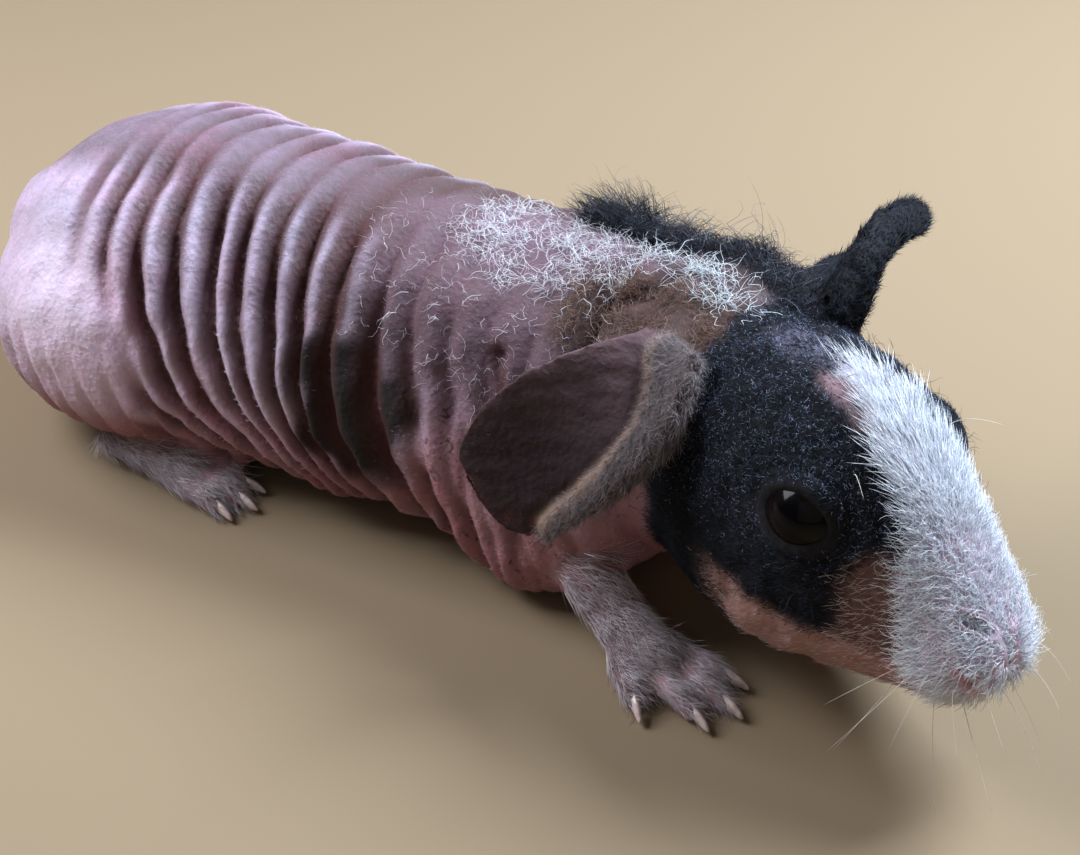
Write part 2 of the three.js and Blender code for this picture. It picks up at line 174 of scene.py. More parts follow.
def setCorners(piece, points):
    piece.data.vertices.foreach_set("co", np.ascontiguousarray(points, dtype=float).ravel())
    piece.data.update()


def normalsOf(piece):
    return gathered(piece.data.vertices, "normal", 3)


def edgesOf(piece):
    return gathered(piece.data.edges, "vertices", 2, int)


def relax(points, edges, steps, weight):
    # Moves each point towards the middle of its neighbours, by its own weight
    count = np.bincount(edges.ravel(), minlength=len(points))[:, None].clip(1)
    for _ in range(steps):
        total = np.zeros_like(points)
        for axis in range(points.shape[1]):
            total[:, axis] = np.bincount(edges[:, 0], points[edges[:, 1], axis], len(points))
            total[:, axis] += np.bincount(edges[:, 1], points[edges[:, 0], axis], len(points))
        points = points + (total / count - points) * weight
    return points


def onWholeMesh(piece, work, **settings):
    onlySelect(piece)
    bpy.ops.object.mode_set(mode="EDIT")
    bpy.ops.mesh.select_all(action="SELECT")
    work(**settings)
    bpy.ops.object.mode_set(mode="OBJECT")


def mergedCopy(node):
    made = bpy.data.objects.new(node + "_copy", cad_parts[node].data.copy())
    bpy.context.scene.collection.objects.link(made)
    onWholeMesh(made, bpy.ops.mesh.remove_doubles, threshold=1e-5)
    made.data.materials.clear()
    return made


def joined(pieces, name):
    onlySelect(pieces[0])
    for piece in pieces:
        piece.select_set(True)
    bpy.ops.object.join()
    made = bpy.context.object
    made.name = made.data.name = name
    return made


# Skin: one surface over all the flesh

sides = ("right", "left")
pairedParts = ("hind_leg", "foreleg", "fore_foot", "hind_foot", "ear")
fleshNodes = ["torso", "neck", "head"] + [f"{part}_{side}" for part in pairedParts for side in sides]
skinShape = {
    "grow": 0.28, "voxel": 0.4, "shrink": 0.42, "triangles": 188000,
    "bodySmoothing": 60, "headSmoothing": 16, "limbSmoothing": 4,
}
barrel = {"middle": 12.6, "halfWidth": 17.2, "above": 18.7, "below": 13.0}
# Each valley between two folds: its place along the back, and its depth
folds = [
    (-44.6, 0.7), (-41.2, 1.5), (-37.8, 1.9), (-34.4, 2.1), (-29.9, 2.05), (-26.6, 2.15), (-22.6, 2.0),
    (-19.4, 2.1), (-15.1, 1.9), (-10.2, 1.5), (-6.4, 1.2), (-2.4, 0.8), (2, 0.5), (6.8, 0.5), (11.5, 1.0),
    (15.2, 0.6),
]
valleys, foldDepth = np.array(folds).T
thigh = {"at": (-45, 15.5, 11.2), "reach": (13.5, 9, 10.6), "rise": 1.3, "crease": 0.28, "creaseAt": 1.18}
bareOfFolds = {"at": (-43.5, 17, 13.5), "outer": 12.0, "inner": 8.4}


def roundBody(points):
    # The angle round the body, 0 along the back and pi along the belly
    above = points[:, 2] > barrel["middle"]
    across = np.abs(points[:, 1]) / barrel["halfWidth"]
    up = (points[:, 2] - barrel["middle"]) / np.where(above, barrel["above"], barrel["below"])
    return np.arctan2(across, up)


def sweepOf(distance, angle):
    # The folds lean back as they run down the flank
    most = 12.5 - 6 * smooth(-32, -14, distance)
    along = smooth(-58, -42, distance) * (1 - smooth(-4, 12, distance))
    return most * along * (np.minimum(angle, 2.1) / 2) ** 2


def ringOf(points, angle):
    ring = points[:, 0].copy()
    for _ in range(12):
        ring = 0.5 * ring + 0.5 * (points[:, 0] - sweepOf(ring, angle))
    return ring


def foldField(points):
    # How deep each point lies in a valley: in millimetres, and as a share of the deepest
    angle = roundBody(points)
    wander = 0.5 * wave(points, 16, 3) + 0.28 * wave(points, 7, 4)
    ring = ringOf(points, angle) + wander * smooth(0.3, 1.2, angle)
    nextValley = np.searchsorted(valleys, ring).clip(1, len(valleys) - 1)
    before, after = valleys[nextValley - 1], valleys[nextValley]
    share = np.clip((ring - before) / (after - before), 0, 1)
    nearest = np.where(share > 0.5, nextValley, nextValley - 1)
    inside = smooth(valleys[0] - 1.5, valleys[0] - 0.2, ring)
    inside = inside * (1 - smooth(valleys[-1] + 0.2, valleys[-1] + 1.5, ring))
    hollow = (1 - np.sin(math.pi * share) ** 0.85) * inside
    hollow = np.where((ring < valleys[0]) | (ring > valleys[-1]), inside, hollow)
    isNape = ring > 9
    down = np.where(
        isNape,
        (1 - smooth(0.75, 1.25, angle)) * smooth(0.02, 0.2, angle),
        (0.32 + 0.68 * smooth(0.05, 0.55, angle)) * (1 - 0.75 * smooth(1.95, 2.7, angle)),
    )
    uneven = 0.85 + 0.3 * wave(points, 11, 8)
    fromThigh = np.linalg.norm(points - onOwnSide(points, bareOfFolds["at"]), axis=1)
    overThigh = 1 - 0.97 * smooth(bareOfFolds["outer"], bareOfFolds["inner"], fromThigh)
    front = 1 - smooth(16.5, 19, points[:, 0])
    depth = foldDepth[nearest] * down * uneven * overThigh * front
    return hollow * depth * 1.12, hollow**0.65 * np.clip(depth / 1.3, 0, 1.1), angle


# Balls that close the eye sockets, nostrils and mouth before the skin is made, in the head's own axes
mouth = {"tip": 23.6, "level": -7.4, "bend": 0.19, "drop": -0.2, "half": 4.2, "depth": 0.9}
nostril = {"at": (21.4, 2.2, -0.5), "reach": (0.95, 0.42), "depth": 0.8}


def mouthPlace(across):
    return (mouth["tip"] - mouth["bend"] * across**2, across, mouth["level"] - mouth["drop"] * across**2)


def fillers():
    x, y, z = eye["at"]
    balls = [((x, y, z), 4.5), ((x, -y, z), 4.5)]
    for across in np.linspace(-mouth["half"] - 0.4, mouth["half"] + 0.4, 15):
        forward, _, level = mouthPlace(across)
        balls.append(((forward - 1.1, across * 0.8, level + 0.1), 1.1))
    for side in (-1, 1):
        balls.append(((19.9, side * 1.4, -2.0), 1.1))
        balls.append(((20.6, side * 1.8, -1.3), 1.1))
    return balls


def makeSkin():
    pieces = [mergedCopy(node) for node in fleshNodes]
    for piece in pieces:
        applyModifier(piece, "DISPLACE", strength=skinShape["grow"] * millimetre, mid_level=0)
    for place, radius in fillers():
        at = toScene(fromHead(place))
        bpy.ops.mesh.primitive_ico_sphere_add(subdivisions=3, radius=radius * millimetre, location=at)
        bpy.ops.object.transform_apply()
        pieces.append(bpy.context.object)
    made = joined(pieces, "skin")
    applyModifier(made, "REMESH", mode="VOXEL", voxel_size=skinShape["voxel"] * millimetre)
    print("skin remeshed:", len(made.data.polygons), "faces")
    return made


def nodeLookup():
    # One search tree over all the flesh solids, and the node that each of its faces belongs to
    points, faces, owner = [], [], []
    for index, node in enumerate(fleshNodes):
        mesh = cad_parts[node].data
        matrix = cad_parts[node].matrix_world
        start = len(points)
        points += [matrix @ vertex.co for vertex in mesh.vertices]
        faces += [[start + corner for corner in face.vertices] for face in mesh.polygons]
        owner += [index] * len(mesh.polygons)
    return BVHTree.FromPolygons(points, faces), owner


nodeTree, faceOwner = nodeLookup()


def nearestNode(points):
    found = [nodeTree.find_nearest(Vector(point))[2] for point in toScene(points)]
    return np.array([faceOwner[face] for face in found])


def regionWeights(points, edges, softening=3):
    # How far each point belongs to the head, an ear, a foot and a foreleg, with soft borders
    owner = nearestNode(points)
    weights = [smooth(-10, -6, toHead(points)[:, 0])]
    for part in ("ear_", "foot_", "foreleg"):
        mask = np.array([part in node for node in fleshNodes])[owner].astype(float)
        weights.append(relax(mask[:, None], edges, softening, 0.5)[:, 0])
    return weights


def eyeField(points, isRight):
    # The eye's middle and gaze, and each point's distance from it, way ahead and shares of the opening
    centre = fromHead(np.array(eye["at"]) if isRight else mirrored(eye["at"]))
    looks = np.array(eye["looks"]) if isRight else mirrored(eye["looks"])
    gaze = unit(np.array(looks) @ headAxes)
    away = points - centre
    ahead = away @ gaze
    level = unit(np.cross(gaze, [0, 0, 1.0]) * (1 if isRight else -1))
    upwards = unit(np.cross(level, gaze) * (1 if isRight else -1))
    if upwards[2] < 0:
        upwards = -upwards
    a, b = away @ level / eye["opening"][0], away @ upwards / eye["opening"][1]
    return centre, gaze, np.linalg.norm(away, axis=1), ahead, a, b


lidProfile = {
    # share of the opening from its middle, and the surface's distance from the eye's middle there
    "around": (0.0, 0.86, 0.98, 1.05, 1.14, 1.28, 1.5),
    "radius": (3.5, 3.55, 3.98, 4.24, 4.42, 4.50, 4.62),
}


def openingShare(a, b):
    # 1 on the edge of the opening, which is a little pointed at both corners
    return (np.abs(a) ** 1.75 + np.abs(b) ** 1.9) ** (1 / 1.82)


def shapeLids(points):
    moved = points.copy()
    for isRight in (True, False):
        centre, _, distance, ahead, a, b = eyeField(moved, isRight)
        around = openingShare(a, b)
        outwards = unit(moved - centre)
        near = (distance < 7.5) & (ahead > 0)
        wanted = np.interp(around, lidProfile["around"], lidProfile["radius"])
        hold = near * (1 - smooth(1.25, 1.6, around))
        lower = smooth(0.3, -0.3, b)
        crease = -0.3 * bell(around - 1.62, 0.1) - 0.2 * bell(around - 2.05, 0.12)
        crease = crease - 0.12 * bell(around - 2.5, 0.15)
        ridge = 0.2 * bell(around - 1.82, 0.14) + 0.14 * bell(around - 2.28, 0.16)
        fade = near * smooth(1.2, 1.4, around) * (1 - smooth(2.6, 3.1, around)) * (0.55 + 0.45 * lower)
        distance = distance * (1 - hold) + wanted * hold + (crease + ridge) * fade
        moved = np.where(near[:, None], centre + outwards * distance[:, None], moved)
    return moved


def shapeMuzzle(points, normals):
    inHead = toHead(points)
    across, up = inHead[:, 1], inHead[:, 2]
    line = mouth["level"] - mouth["drop"] * across**2
    between = 1 - smooth(mouth["half"] - 0.6, mouth["half"] + 0.6, np.abs(across))
    gap = up - line
    lips = -mouth["depth"] * bell(gap, 0.42) + 0.3 * bell(gap - 1.0, 0.6) + 0.28 * bell(gap + 1.0, 0.6)
    total = lips * (smooth(14, 17, inHead[:, 0]) * between)
    chin = np.linalg.norm((inHead - np.array([19.8, 0, -9.6])) / np.array([3.0, 3.6, 1.6]), axis=1)
    total += 0.55 * bell(chin, 1.0)
    # The cleft that runs from the mouth up between the nostrils
    front = smooth(17.5, 20.5, inHead[:, 0])
    cleft = smooth(line, line + 0.8, up) * (1 - smooth(-2.2, -0.8, up))
    total += -0.45 * bell(across, 0.34) * cleft * front
    for side in (-1, 1):
        away = inHead - np.array(nostril["at"]) * np.array([1, side, 1])
        slant = away[:, 1] * side * 0.8 + away[:, 2] * 0.6
        over = -away[:, 1] * side * 0.6 + away[:, 2] * 0.8
        ring = np.sqrt((slant / nostril["reach"][0]) ** 2 + (over / nostril["reach"][1]) ** 2)
        total += (-nostril["depth"] * bell(ring, 0.95) + 0.32 * bell(ring - 1.7, 0.5)) * front
    return points + normals * total[:, None]


def wrinkles(points, angle, body):
    # What the body has besides its folds: lumps, fine creases, soft chest folds, and rays under the thigh
    x, _, z = points.T
    fine = 0.14 * wave(points * np.array([1, 0.5, 0.5]), 2.3, 21)
    fine = fine + 0.24 * wave(points * np.array([1, 0.35, 0.35]), 3.6, 22)
    lumps = 0.35 * wave(points, 15, 5)
    chest = smooth(-10, 2, x) * smooth(0.9, 1.5, angle)
    soft = -0.6 * (1 - np.abs(np.sin(x * 0.62 + 0.09 * z + 0.8 * wave(points, 17, 31)))) ** 2 * chest
    under = smooth(-52, -46, x) * (1 - smooth(-34, -28, x)) * smooth(1.3, 1.8, angle)
    rays = -0.85 * (1 - np.abs(np.sin(x * 1.0 + 0.14 * z))) ** 2 * under
    neckFolds = 0.3 * wave(points * np.array([1, 0.4, 0.4]), 4.5, 41) * smooth(12, 16, x)
    creases = -1.3 * sum(bell(gapToLine(points, places), 0.75) for places in neckCreases)
    total = fine * smooth(0.15, 0.5, angle) + lumps + soft + rays + neckFolds + creases
    return (total + thighForm(points)) * body


neckCreases = [
    [(11.8, 0.5, 32.2), (11.5, -2.6, 31.5), (11.2, -7, 30), (11.5, -10.6, 27.7), (11.0, -13.5, 24)],
    [(16, -2, 31.8), (14.8, -4.5, 31.2), (12.4, -7.4, 30)],
    [(4, -12.5, 25), (6.5, -15, 18), (8.5, -15.5, 13)],
]


def thighForm(points):
    # The thigh stands out as a smooth round form with a shallow crease over its top
    reach = np.linalg.norm((points - onOwnSide(points, thigh["at"])) / np.array(thigh["reach"]), axis=1)
    crease = thigh["crease"] * bell(reach - thigh["creaseAt"], 0.16) * smooth(8, 14, points[:, 2])
    return thigh["rise"] * smooth(1.15, 0.45, reach) - crease


earEdges = {  # the thick front edge of each ear, from root to tip, in the head's own axes
    "right": ((-6.9, -6.4, 10.6), (-2.4, -13.4, 6.4), (-11.2, -18.6, -3.4)),
    "left": ((-3.2, 5.6, 12.6), (-6.4, 11.6, 20.8), (-10.2, 23, 13.8)),
}


def earRim(points, side):
    # For the points of one ear: distance from its front edge, and how far along it
    first, middle, last = (np.array(place) for place in earEdges[side])
    share = np.linspace(0, 1, 50)[:, None]
    line = first * (1 - share) ** 2 + 2 * middle * share * (1 - share) + last * share**2
    away = np.linalg.norm(toHead(points)[:, None] - line[None], axis=2)
    return away.min(1), away.argmin(1) / 49


def eachEar(points, inHead, ears):
    # The points of one ear at a time, their distance from its thick edge's line, and the edge's width there
    for side in sides:
        isThis = (ears > 0.02) & ((inHead[:, 1] < 0) == (side == "right"))
        gap, along = earRim(points[isThis], side)
        yield side, isThis, gap, 5.2 - 3.4 * along**0.8


def shapeEars(points, normals, ears):
    moved = points.copy()
    inHead = toHead(points)
    for side, isThis, gap, width in eachEar(points, inHead, ears):
        outwards = np.array([0.6, -0.7 if side == "right" else 0.7, 0.5]) @ headAxes
        outside = (normals[isThis] @ outwards) > 0
        roll = 0.55 * smooth(width + 0.5, width - 0.5, gap) * outside
        roll = roll - 0.3 * bell(gap - width - 0.6, 0.5) * outside
        veins = 0.1 * wave(inHead[isThis], 3.4, 71) + 0.07 * wave(inHead[isThis], 1.8, 72)
        full = 0.35 if side == "left" else 0
        moved[isThis] += normals[isThis] * ((roll + veins + full) * ears[isThis])[:, None]
    return moved


def refine(made, chosen):
    # Cuts every edge between the chosen points in two
    onlySelect(made)
    bpy.ops.object.mode_set(mode="EDIT")
    bpy.ops.mesh.select_mode(type="VERT")
    bpy.ops.mesh.select_all(action="DESELECT")
    bpy.ops.object.mode_set(mode="OBJECT")
    made.data.vertices.foreach_set("select", chosen)
    bpy.ops.object.mode_set(mode="EDIT")
    bpy.ops.mesh.select_mode(type="FACE")
    bpy.ops.mesh.subdivide(number_cuts=1, smoothness=0)
    bpy.ops.object.mode_set(mode="OBJECT")


def eyeGap(points):
    return np.minimum(*(eyeField(points, isRight)[2] for isRight in (True, False)))


def trianglesOf(piece):
    piece.data.calc_loop_triangles()
    return len(piece.data.loop_triangles)


def thinSkin(made, values):
    # Thins the finished skin where it is plain, and hands the values on to the nearest points left
    before = corners(made)
    applyModifier(made, "DECIMATE", ratio=skinShape["triangles"] / trianglesOf(made))
    tree = KDTree(len(before))
    for index, point in enumerate(before):
        tree.insert(point, index)
    tree.balance()
    nearest = np.array([tree.find(point)[1] for point in corners(made)])
    return {name: value[nearest] for name, value in values.items()}


def sculptSkin(made):
    edges = edgesOf(made)
    points = toModel(corners(made))
    headness, ears, feet, forelegs = regionWeights(points, edges)
    limbs = np.clip(ears + feet + forelegs, 0, 1)
    body = (1 - headness) * (1 - limbs)
    nearEye = 1 - smooth(5.2, 7.2, eyeGap(points))
    onHead = 0.5 * headness * (1 - limbs) * (1 - 0.6 * nearEye)
    for part, weight in (("body", 0.6 * body), ("head", onHead), ("limb", 0.5 * limbs)):
        points = relax(points, edges, skinShape[part + "Smoothing"], weight[:, None])
    setCorners(made, toScene(points))
    shrink = skinShape["shrink"] * (1 - 0.35 * feet) * (1 - 0.5 * nearEye)
    points = points - normalsOf(made) * shrink[:, None]
    setCorners(made, toScene(points))
    # The eyes and the muzzle get a mesh twice as fine
    inHead = toHead(points)
    fine = ((inHead[:, 0] > 15.5) & (limbs < 0.1) & (points[:, 0] > 40)) | (eyeGap(points) < 7.6)
    refine(made, fine)
    points = toModel(corners(made))
    edges = edgesOf(made)
    headness, ears, feet, forelegs = regionWeights(points, edges)
    limbs = np.clip(ears + feet + forelegs, 0, 1)
    points = relax(points, edges, 3, (0.45 * headness * (1 - limbs))[:, None])
    setCorners(made, toScene(points))
    normals = normalsOf(made)
    depth, valley, angle = foldField(points)
    body = (1 - headness) * (1 - limbs)
    ridges = 0.55 * smooth(0.3, 0.9, angle) * (1 - smooth(2.0, 2.6, angle))
    ridges = ridges * (1 - smooth(-8, 4, points[:, 0]))
    points = points + normals * ((ridges - depth) * body + wrinkles(points, angle, body))[:, None]
    crown = headness * (1 - limbs) * smooth(13, 8, toHead(points)[:, 0])
    crown = crown * smooth(5.6, 7.4, eyeGap(points))
    bumps = 0.26 * wave(points, 3.9, 81) + 0.1 * wave(points, 2.2, 82)
    points = points + normals * (crown * bumps)[:, None]
    points = relax(points, edges, 1, (0.3 * body)[:, None])
    points = shapeEars(points, normals, ears)
    points = shapeLids(points)
    setCorners(made, toScene(points))
    points = shapeMuzzle(points, normalsOf(made))
    points[:, 2] = np.maximum(points[:, 2], 0.05)
    setCorners(made, toScene(points))
    onlySelect(made)
    bpy.ops.object.shade_smooth()
    hairyLegs = np.clip(feet + 0.8 * forelegs, 0, 1)
    found = thinSkin(made, {"valley": valley * body, "ears": ears, "feet": hairyLegs})
    print("skin sculpted:", trianglesOf(made), "triangles")
    return found


skin = makeSkin()
shaped = sculptSkin(skin)


# Markings, shared by the skin and the coat, and the skin's tones, some of them painted light and shade

tones = {
    "back": (0.165, 0.122, 0.15),
    "flank": (0.42, 0.31, 0.39),
    # Painted highlight: the lit bluish-white tops of the folds
    "ridge": (0.68, 0.60, 0.78),
    # Underside tone: the skin's own redder colour, darker as painted shade under the body
    "bellyToneAndShade": (0.32, 0.155, 0.165),
    # Painted highlight: a bright pink glow on the thigh
    "thigh": (0.95, 0.72, 0.88),
    # The folds' hollows: partly brown skin, partly painted shade in the valleys and creases
    "valley": (0.075, 0.028, 0.026),
    "brown": (0.085, 0.054, 0.053),
    "nape": (0.19, 0.12, 0.155),
    "tanNape": (0.070, 0.038, 0.032),
    "patch": (0.016, 0.013, 0.014),
    "dark": (0.004, 0.0045, 0.007),
    "darkBrown": (0.105, 0.052, 0.042),
    "pinkTan": (0.27, 0.175, 0.19),
    "crownSpot": (0.13, 0.12, 0.17),
    "blaze": (0.60, 0.54, 0.64),
    "jaw": (0.35, 0.195, 0.17),
    "muzzle": (0.58, 0.44, 0.52),
    "lips": (0.56, 0.24, 0.25),
    "earInside": (0.030, 0.017, 0.020),
    # Painted light: the lighter upper part of the ear's inside
    "earTopPaintedLight": (0.12, 0.070, 0.078),
    "earRoll": (0.115, 0.092, 0.092),
    "earBand": (0.30, 0.20, 0.15),
    "foot": (0.22, 0.125, 0.125),
    "toes": (0.48, 0.29, 0.31),
    "lid": (0.014, 0.012, 0.020),
    # Painted shade: the dark gap between the eyeball and the lids
    "lidGapShade": (0.006, 0.005, 0.006),
    "nostril": (0.10, 0.03, 0.03),
}


def inSpot(points, centre, reach, edge=0.35, rough=0.25, seed=1):
    # 1 inside an ellipsoid patch with an uneven border, 0 outside
    away = np.sqrt((((points - np.array(centre)) / np.array(reach)) ** 2).sum(1))
    away = away + rough * wave(points, 5, seed) * 0.5
    return 1 - smooth(1 - edge, 1 + edge, away)


def alongLine(points, places, width, seed, rough=0.3):
    # 1 near a bent line through the given places, 0 further off than its width
    return 1 - smooth(0.6, 1.15, gapToLine(points, places) / width + rough * wave(points, 6, seed) * 0.5)


hairPlaces = {
    # the line that each patch of body hair follows, its width, and the seed of its uneven border
    "crest": ([(7.0, 5.0, 31), (12, 5.4, 31.5), (20, 5.2, 32.2), (28, 1.5, 31.5)], 3.5, 65),
    "whiteNape": ([(-1, -1.5, 31), (5, -3.5, 31), (9, -2.5, 31.5)], 5.0, 66),
    "whiteNeck": ([(14, -0.5, 32), (19, -1.5, 32.3), (23.5, -3.2, 31.8)], 2.6, 67),
    "tanNape": ([(12, -7.5, 29.5), (16, -6.5, 30.5), (23, -8, 30)], 5.0, 68),
    "shoulder": ([(-4, -7, 29), (3, -11, 26), (6, -6, 30)], 10, 69),
}


def markings(points):
    # Masks of the coat's colours at each point, in the animal's own millimetres
    inHead = toHead(points)
    x, y, z = inHead.T
    angle = roundBody(points)
    wobble = 0.5 * wave(points, 6, 51) + 0.3 * wave(points, 2.5, 52)
    headness = smooth(-9.5, -7.5, x + 0.9 * wobble)
    # The blaze runs down the middle of the face and spreads over the nose
    width = 1.1 + 2.6 * smooth(3, 12, x) + 3.4 * smooth(14.5, 19.5, x)
    blaze = smooth(width + 0.8, width - 0.4, np.abs(y - 0.4) + 0.7 * wobble)
    blaze = blaze * smooth(1.2, 4.0, x + 0.8 * wobble)
    blaze = blaze * smooth(-7.5, -4.5, z + 0.3 * wobble)
    bare = inSpot(inHead, (5.4, -2.4, 12.2), (3.6, 1.3, 3.2), 0.4, 0.3, 61)
    crownSpot = inSpot(inHead, (-1.2, -0.6, 13.6), (3.4, 1.8, 2.5), 0.5, 0.4, 62)
    brownFace = smooth(10.9, 12.9, x + 0.7 * wobble - 0.25 * np.maximum(z, 0))
    brownFace = brownFace * smooth(5.0, 2.6, z + 0.4 * wobble)
    jaw = smooth(-4.2, -6.4, z + 0.8 * wobble + 0.25 * np.minimum(x - 9, 0)) * smooth(-3, 4, x)
    muzzle = smooth(16.6, 19.2, x + 0.9 * wobble + 0.35 * (z + 2)) * smooth(-9.8, -6.5, z + 0.2 * wobble)
    lips = bell(z - mouth["level"] + mouth["drop"] * y**2, 1.0)
    lips = lips * smooth(15, 18, x) * smooth(5.4, 4.2, np.abs(y))
    dark = headness * (1 - np.maximum.reduce([blaze, 0.9 * bare, jaw, muzzle, brownFace]))
    found = {name: alongLine(points, *settings) for name, settings in hairPlaces.items()}
    return found | {
        "headness": headness, "blaze": blaze, "bare": bare, "crownSpot": crownSpot, "brownFace": brownFace,
        "jaw": jaw, "muzzle": muzzle, "lips": lips, "dark": dark, "angle": angle, "inHead": inHead,
        "flankPatch": inSpot(points, (-9.8, -15.8, 16.4), (7.0, 6.4, 8.0), 0.24, 0.4, 64),
        "upperBrown": smooth(-27, -10, points[:, 0]) * (1 - smooth(0.85, 1.35, angle)) * (1 - headness),
    }


def mix(first, second, share):
    share = np.asarray(share)[:, None]
    return first * (1 - share) + np.asarray(second, float) * share


def layered(under, layers):
    # Lays named tones over one another, each by its share at each point
    colour = np.tile(np.array(tones[under]), (len(layers[0][1]), 1))
    for tone, share in layers:
        colour = mix(colour, tones[tone], share)
    return colour


def bodyTones(points, m, valley):
    angle, x = m["angle"], points[:, 0]
    # A painted highlight on the thigh, stronger on the near side
    glow = np.linalg.norm((points - onOwnSide(points, (-41, 17.5, 17.5))) / np.array([9.5, 9, 10]), axis=1)
    paintedThighHighlight = np.where(points[:, 1] < 0, 0.92, 0.35) * (1 - smooth(0.2, 1.2, glow))
    chest = smooth(-6, 3, x) * smooth(0.9, 1.4, angle)
    # Painted highlight along the fold crests on the flank
    ridge = smooth(0.35, 0.05, valley) * smooth(0.25, 0.6, angle) * (1 - smooth(1.6, 2.1, angle))
    ridge = ridge * smooth(-6, -16, x)
    creased = np.clip(sum(bell(gapToLine(points, places), 1.0) for places in neckCreases), 0, 1)
    return layered("flank", [
        ("back", (1 - smooth(0.5, 1.25, angle)) * 0.9),
        # The underside: its own redder skin, darker as painted shade
        ("bellyToneAndShade", smooth(1.2, 1.95, angle)),
        ("brown", 0.95 * m["upperBrown"]),
        ("thigh", paintedThighHighlight),
        # The chest's underside gets the same tone: its own redder skin, darker as painted shade
        ("bellyToneAndShade", 0.7 * chest),
        ("patch", m["flankPatch"]),
        # The fold crests lightened as painted highlight
        ("ridge", 0.45 * ridge * (1 - m["flankPatch"])),
        # The fold valleys darkened: partly brown skin, partly painted shade
        ("valley", np.clip(1.1 * valley, 0, 0.95)),
        ("nape", 0.75 * np.maximum(m["whiteNape"], 0.7 * m["shoulder"])),
        ("tanNape", 0.9 * m["tanNape"]),
        # The neck creases darkened the same way: partly brown skin, partly painted shade
        ("valley", 0.95 * creased),
        ("dark", 0.9 * m["crest"]),
    ])


def headTones(points, m):
    layers = [
        ("darkBrown", m["brownFace"]), ("crownSpot", 0.7 * m["crownSpot"]), ("jaw", m["jaw"]),
        ("blaze", m["blaze"]), ("pinkTan", 0.75 * m["bare"]), ("muzzle", m["muzzle"]),
        ("lips", 0.85 * m["lips"]),
    ]
    for isRight in (True, False):
        _, _, distance, ahead, a, b = eyeField(points, isRight)
        around = openingShare(a, b)
        near = (distance < 7) * (ahead > 0)
        layers.append(("lid", (0.25 + 0.65 * smooth(0.3, -0.5, b)) * near * bell(around - 1.3, 0.26)))
        # Painted shade in the gap round the eyeball's edge
        layers.append(("lidGapShade", near * (1 - smooth(1.02, 1.12, around))))
    for side in (-1, 1):
        away = m["inHead"] - np.array(nostril["at"]) * np.array([1, side, 1])
        layers.append(("nostril", 0.9 * bell(np.linalg.norm(away, axis=1), 0.85)))
    return layered("dark", layers)


def earTones(points, ears):
    colour = np.tile(np.array(tones["earInside"]), (len(points), 1))
    inHead = toHead(points)
    roll = np.zeros(len(points))
    for _, isThis, gap, width in eachEar(points, inHead, ears):
        roll[isThis] = smooth(width + 0.4, width - 0.4, gap)
        band = bell(gap - width - 0.1, 0.5)
        # The ear's upper part made lighter, as painted light
        lit = smooth(2, 12, inHead[isThis][:, 2]) * (0.75 + 0.25 * wave(points[isThis], 4, 91))
        colour[isThis] = mix(colour[isThis], tones["earTopPaintedLight"], np.clip(lit, 0, 1))
        colour[isThis] = mix(colour[isThis], tones["earRoll"], 0.9 * roll[isThis])
        colour[isThis] = mix(colour[isThis], tones["earBand"], 0.8 * band)
    return mix(colour, tones["dark"], 0.96 * (inHead[:, 1] > 0)), roll


def skinColours(points):
    m = markings(points)
    colour = bodyTones(points, m, shaped["valley"])
    colour = mix(colour, headTones(points, m), m["headness"])
    earColour, roll = earTones(points, shaped["ears"])
    colour = mix(colour, earColour, shaped["ears"])
    colour = mix(colour, tones["foot"], shaped["feet"])
    x = points[:, 0]
    toes = shaped["feet"] * np.maximum(smooth(23, 27, x), smooth(-31, -27, x) * (x < 0))
    colour = mix(colour, tones["toes"], 0.7 * toes)
    m["earRoll"] = roll * shaped["ears"]
    return np.clip(colour, 0, 1), m


def storeColours(piece, name, colours):
    layer = piece.data.color_attributes.new(name, "FLOAT_COLOR", "POINT")
    opaque = np.concatenate([colours, np.ones((len(colours), 1))], 1)
    layer.data.foreach_set("color", opaque.astype(np.float32).ravel())


def storeValues(piece, name, values):
    layer = piece.data.attributes.new(name, "FLOAT", "POINT")
    layer.data.foreach_set("value", np.asarray(values, np.float32))


skinPoints = toModel(corners(skin))
skinTones, marks = skinColours(skinPoints)
storeColours(skin, "skinColour", skinTones)
bareness = 1 - marks["dark"] - shaped["ears"] - marks["flankPatch"] - 0.6 * marks["upperBrown"]
storeValues(skin, "bareness", np.clip(bareness, 0, 1))
chestShare = smooth(-8, 0, skinPoints[:, 0]) * smooth(0.8, 1.2, marks["angle"])
storeValues(skin, "chest", chestShare * (1 - marks["headness"]) * (1 - shaped["feet"]))
print("skin coloured")


# Materials


class Socket:
    # Wraps a node's output so that Python sums add Math nodes
    def __init__(self, nodes, output):
        self.nodes, self.output = nodes, output

    def _math(self, operation, other, swap=False):
        first, second = (other, self) if swap else (self, other)
        return self.nodes.add("ShaderNodeMath", {"operation": operation}, {0: first, 1: second})

    def __add__(self, other):
        return self._math("ADD", other)

    def __radd__(self, other):
        return self._math("ADD", other, True)

    def __sub__(self, other):
        return self._math("SUBTRACT", other)

    def __rsub__(self, other):
        return self._math("SUBTRACT", other, True)

    def __mul__(self, other):
        return self._math("MULTIPLY", other)

    def __rmul__(self, other):
        return self._math("MULTIPLY", other, True)


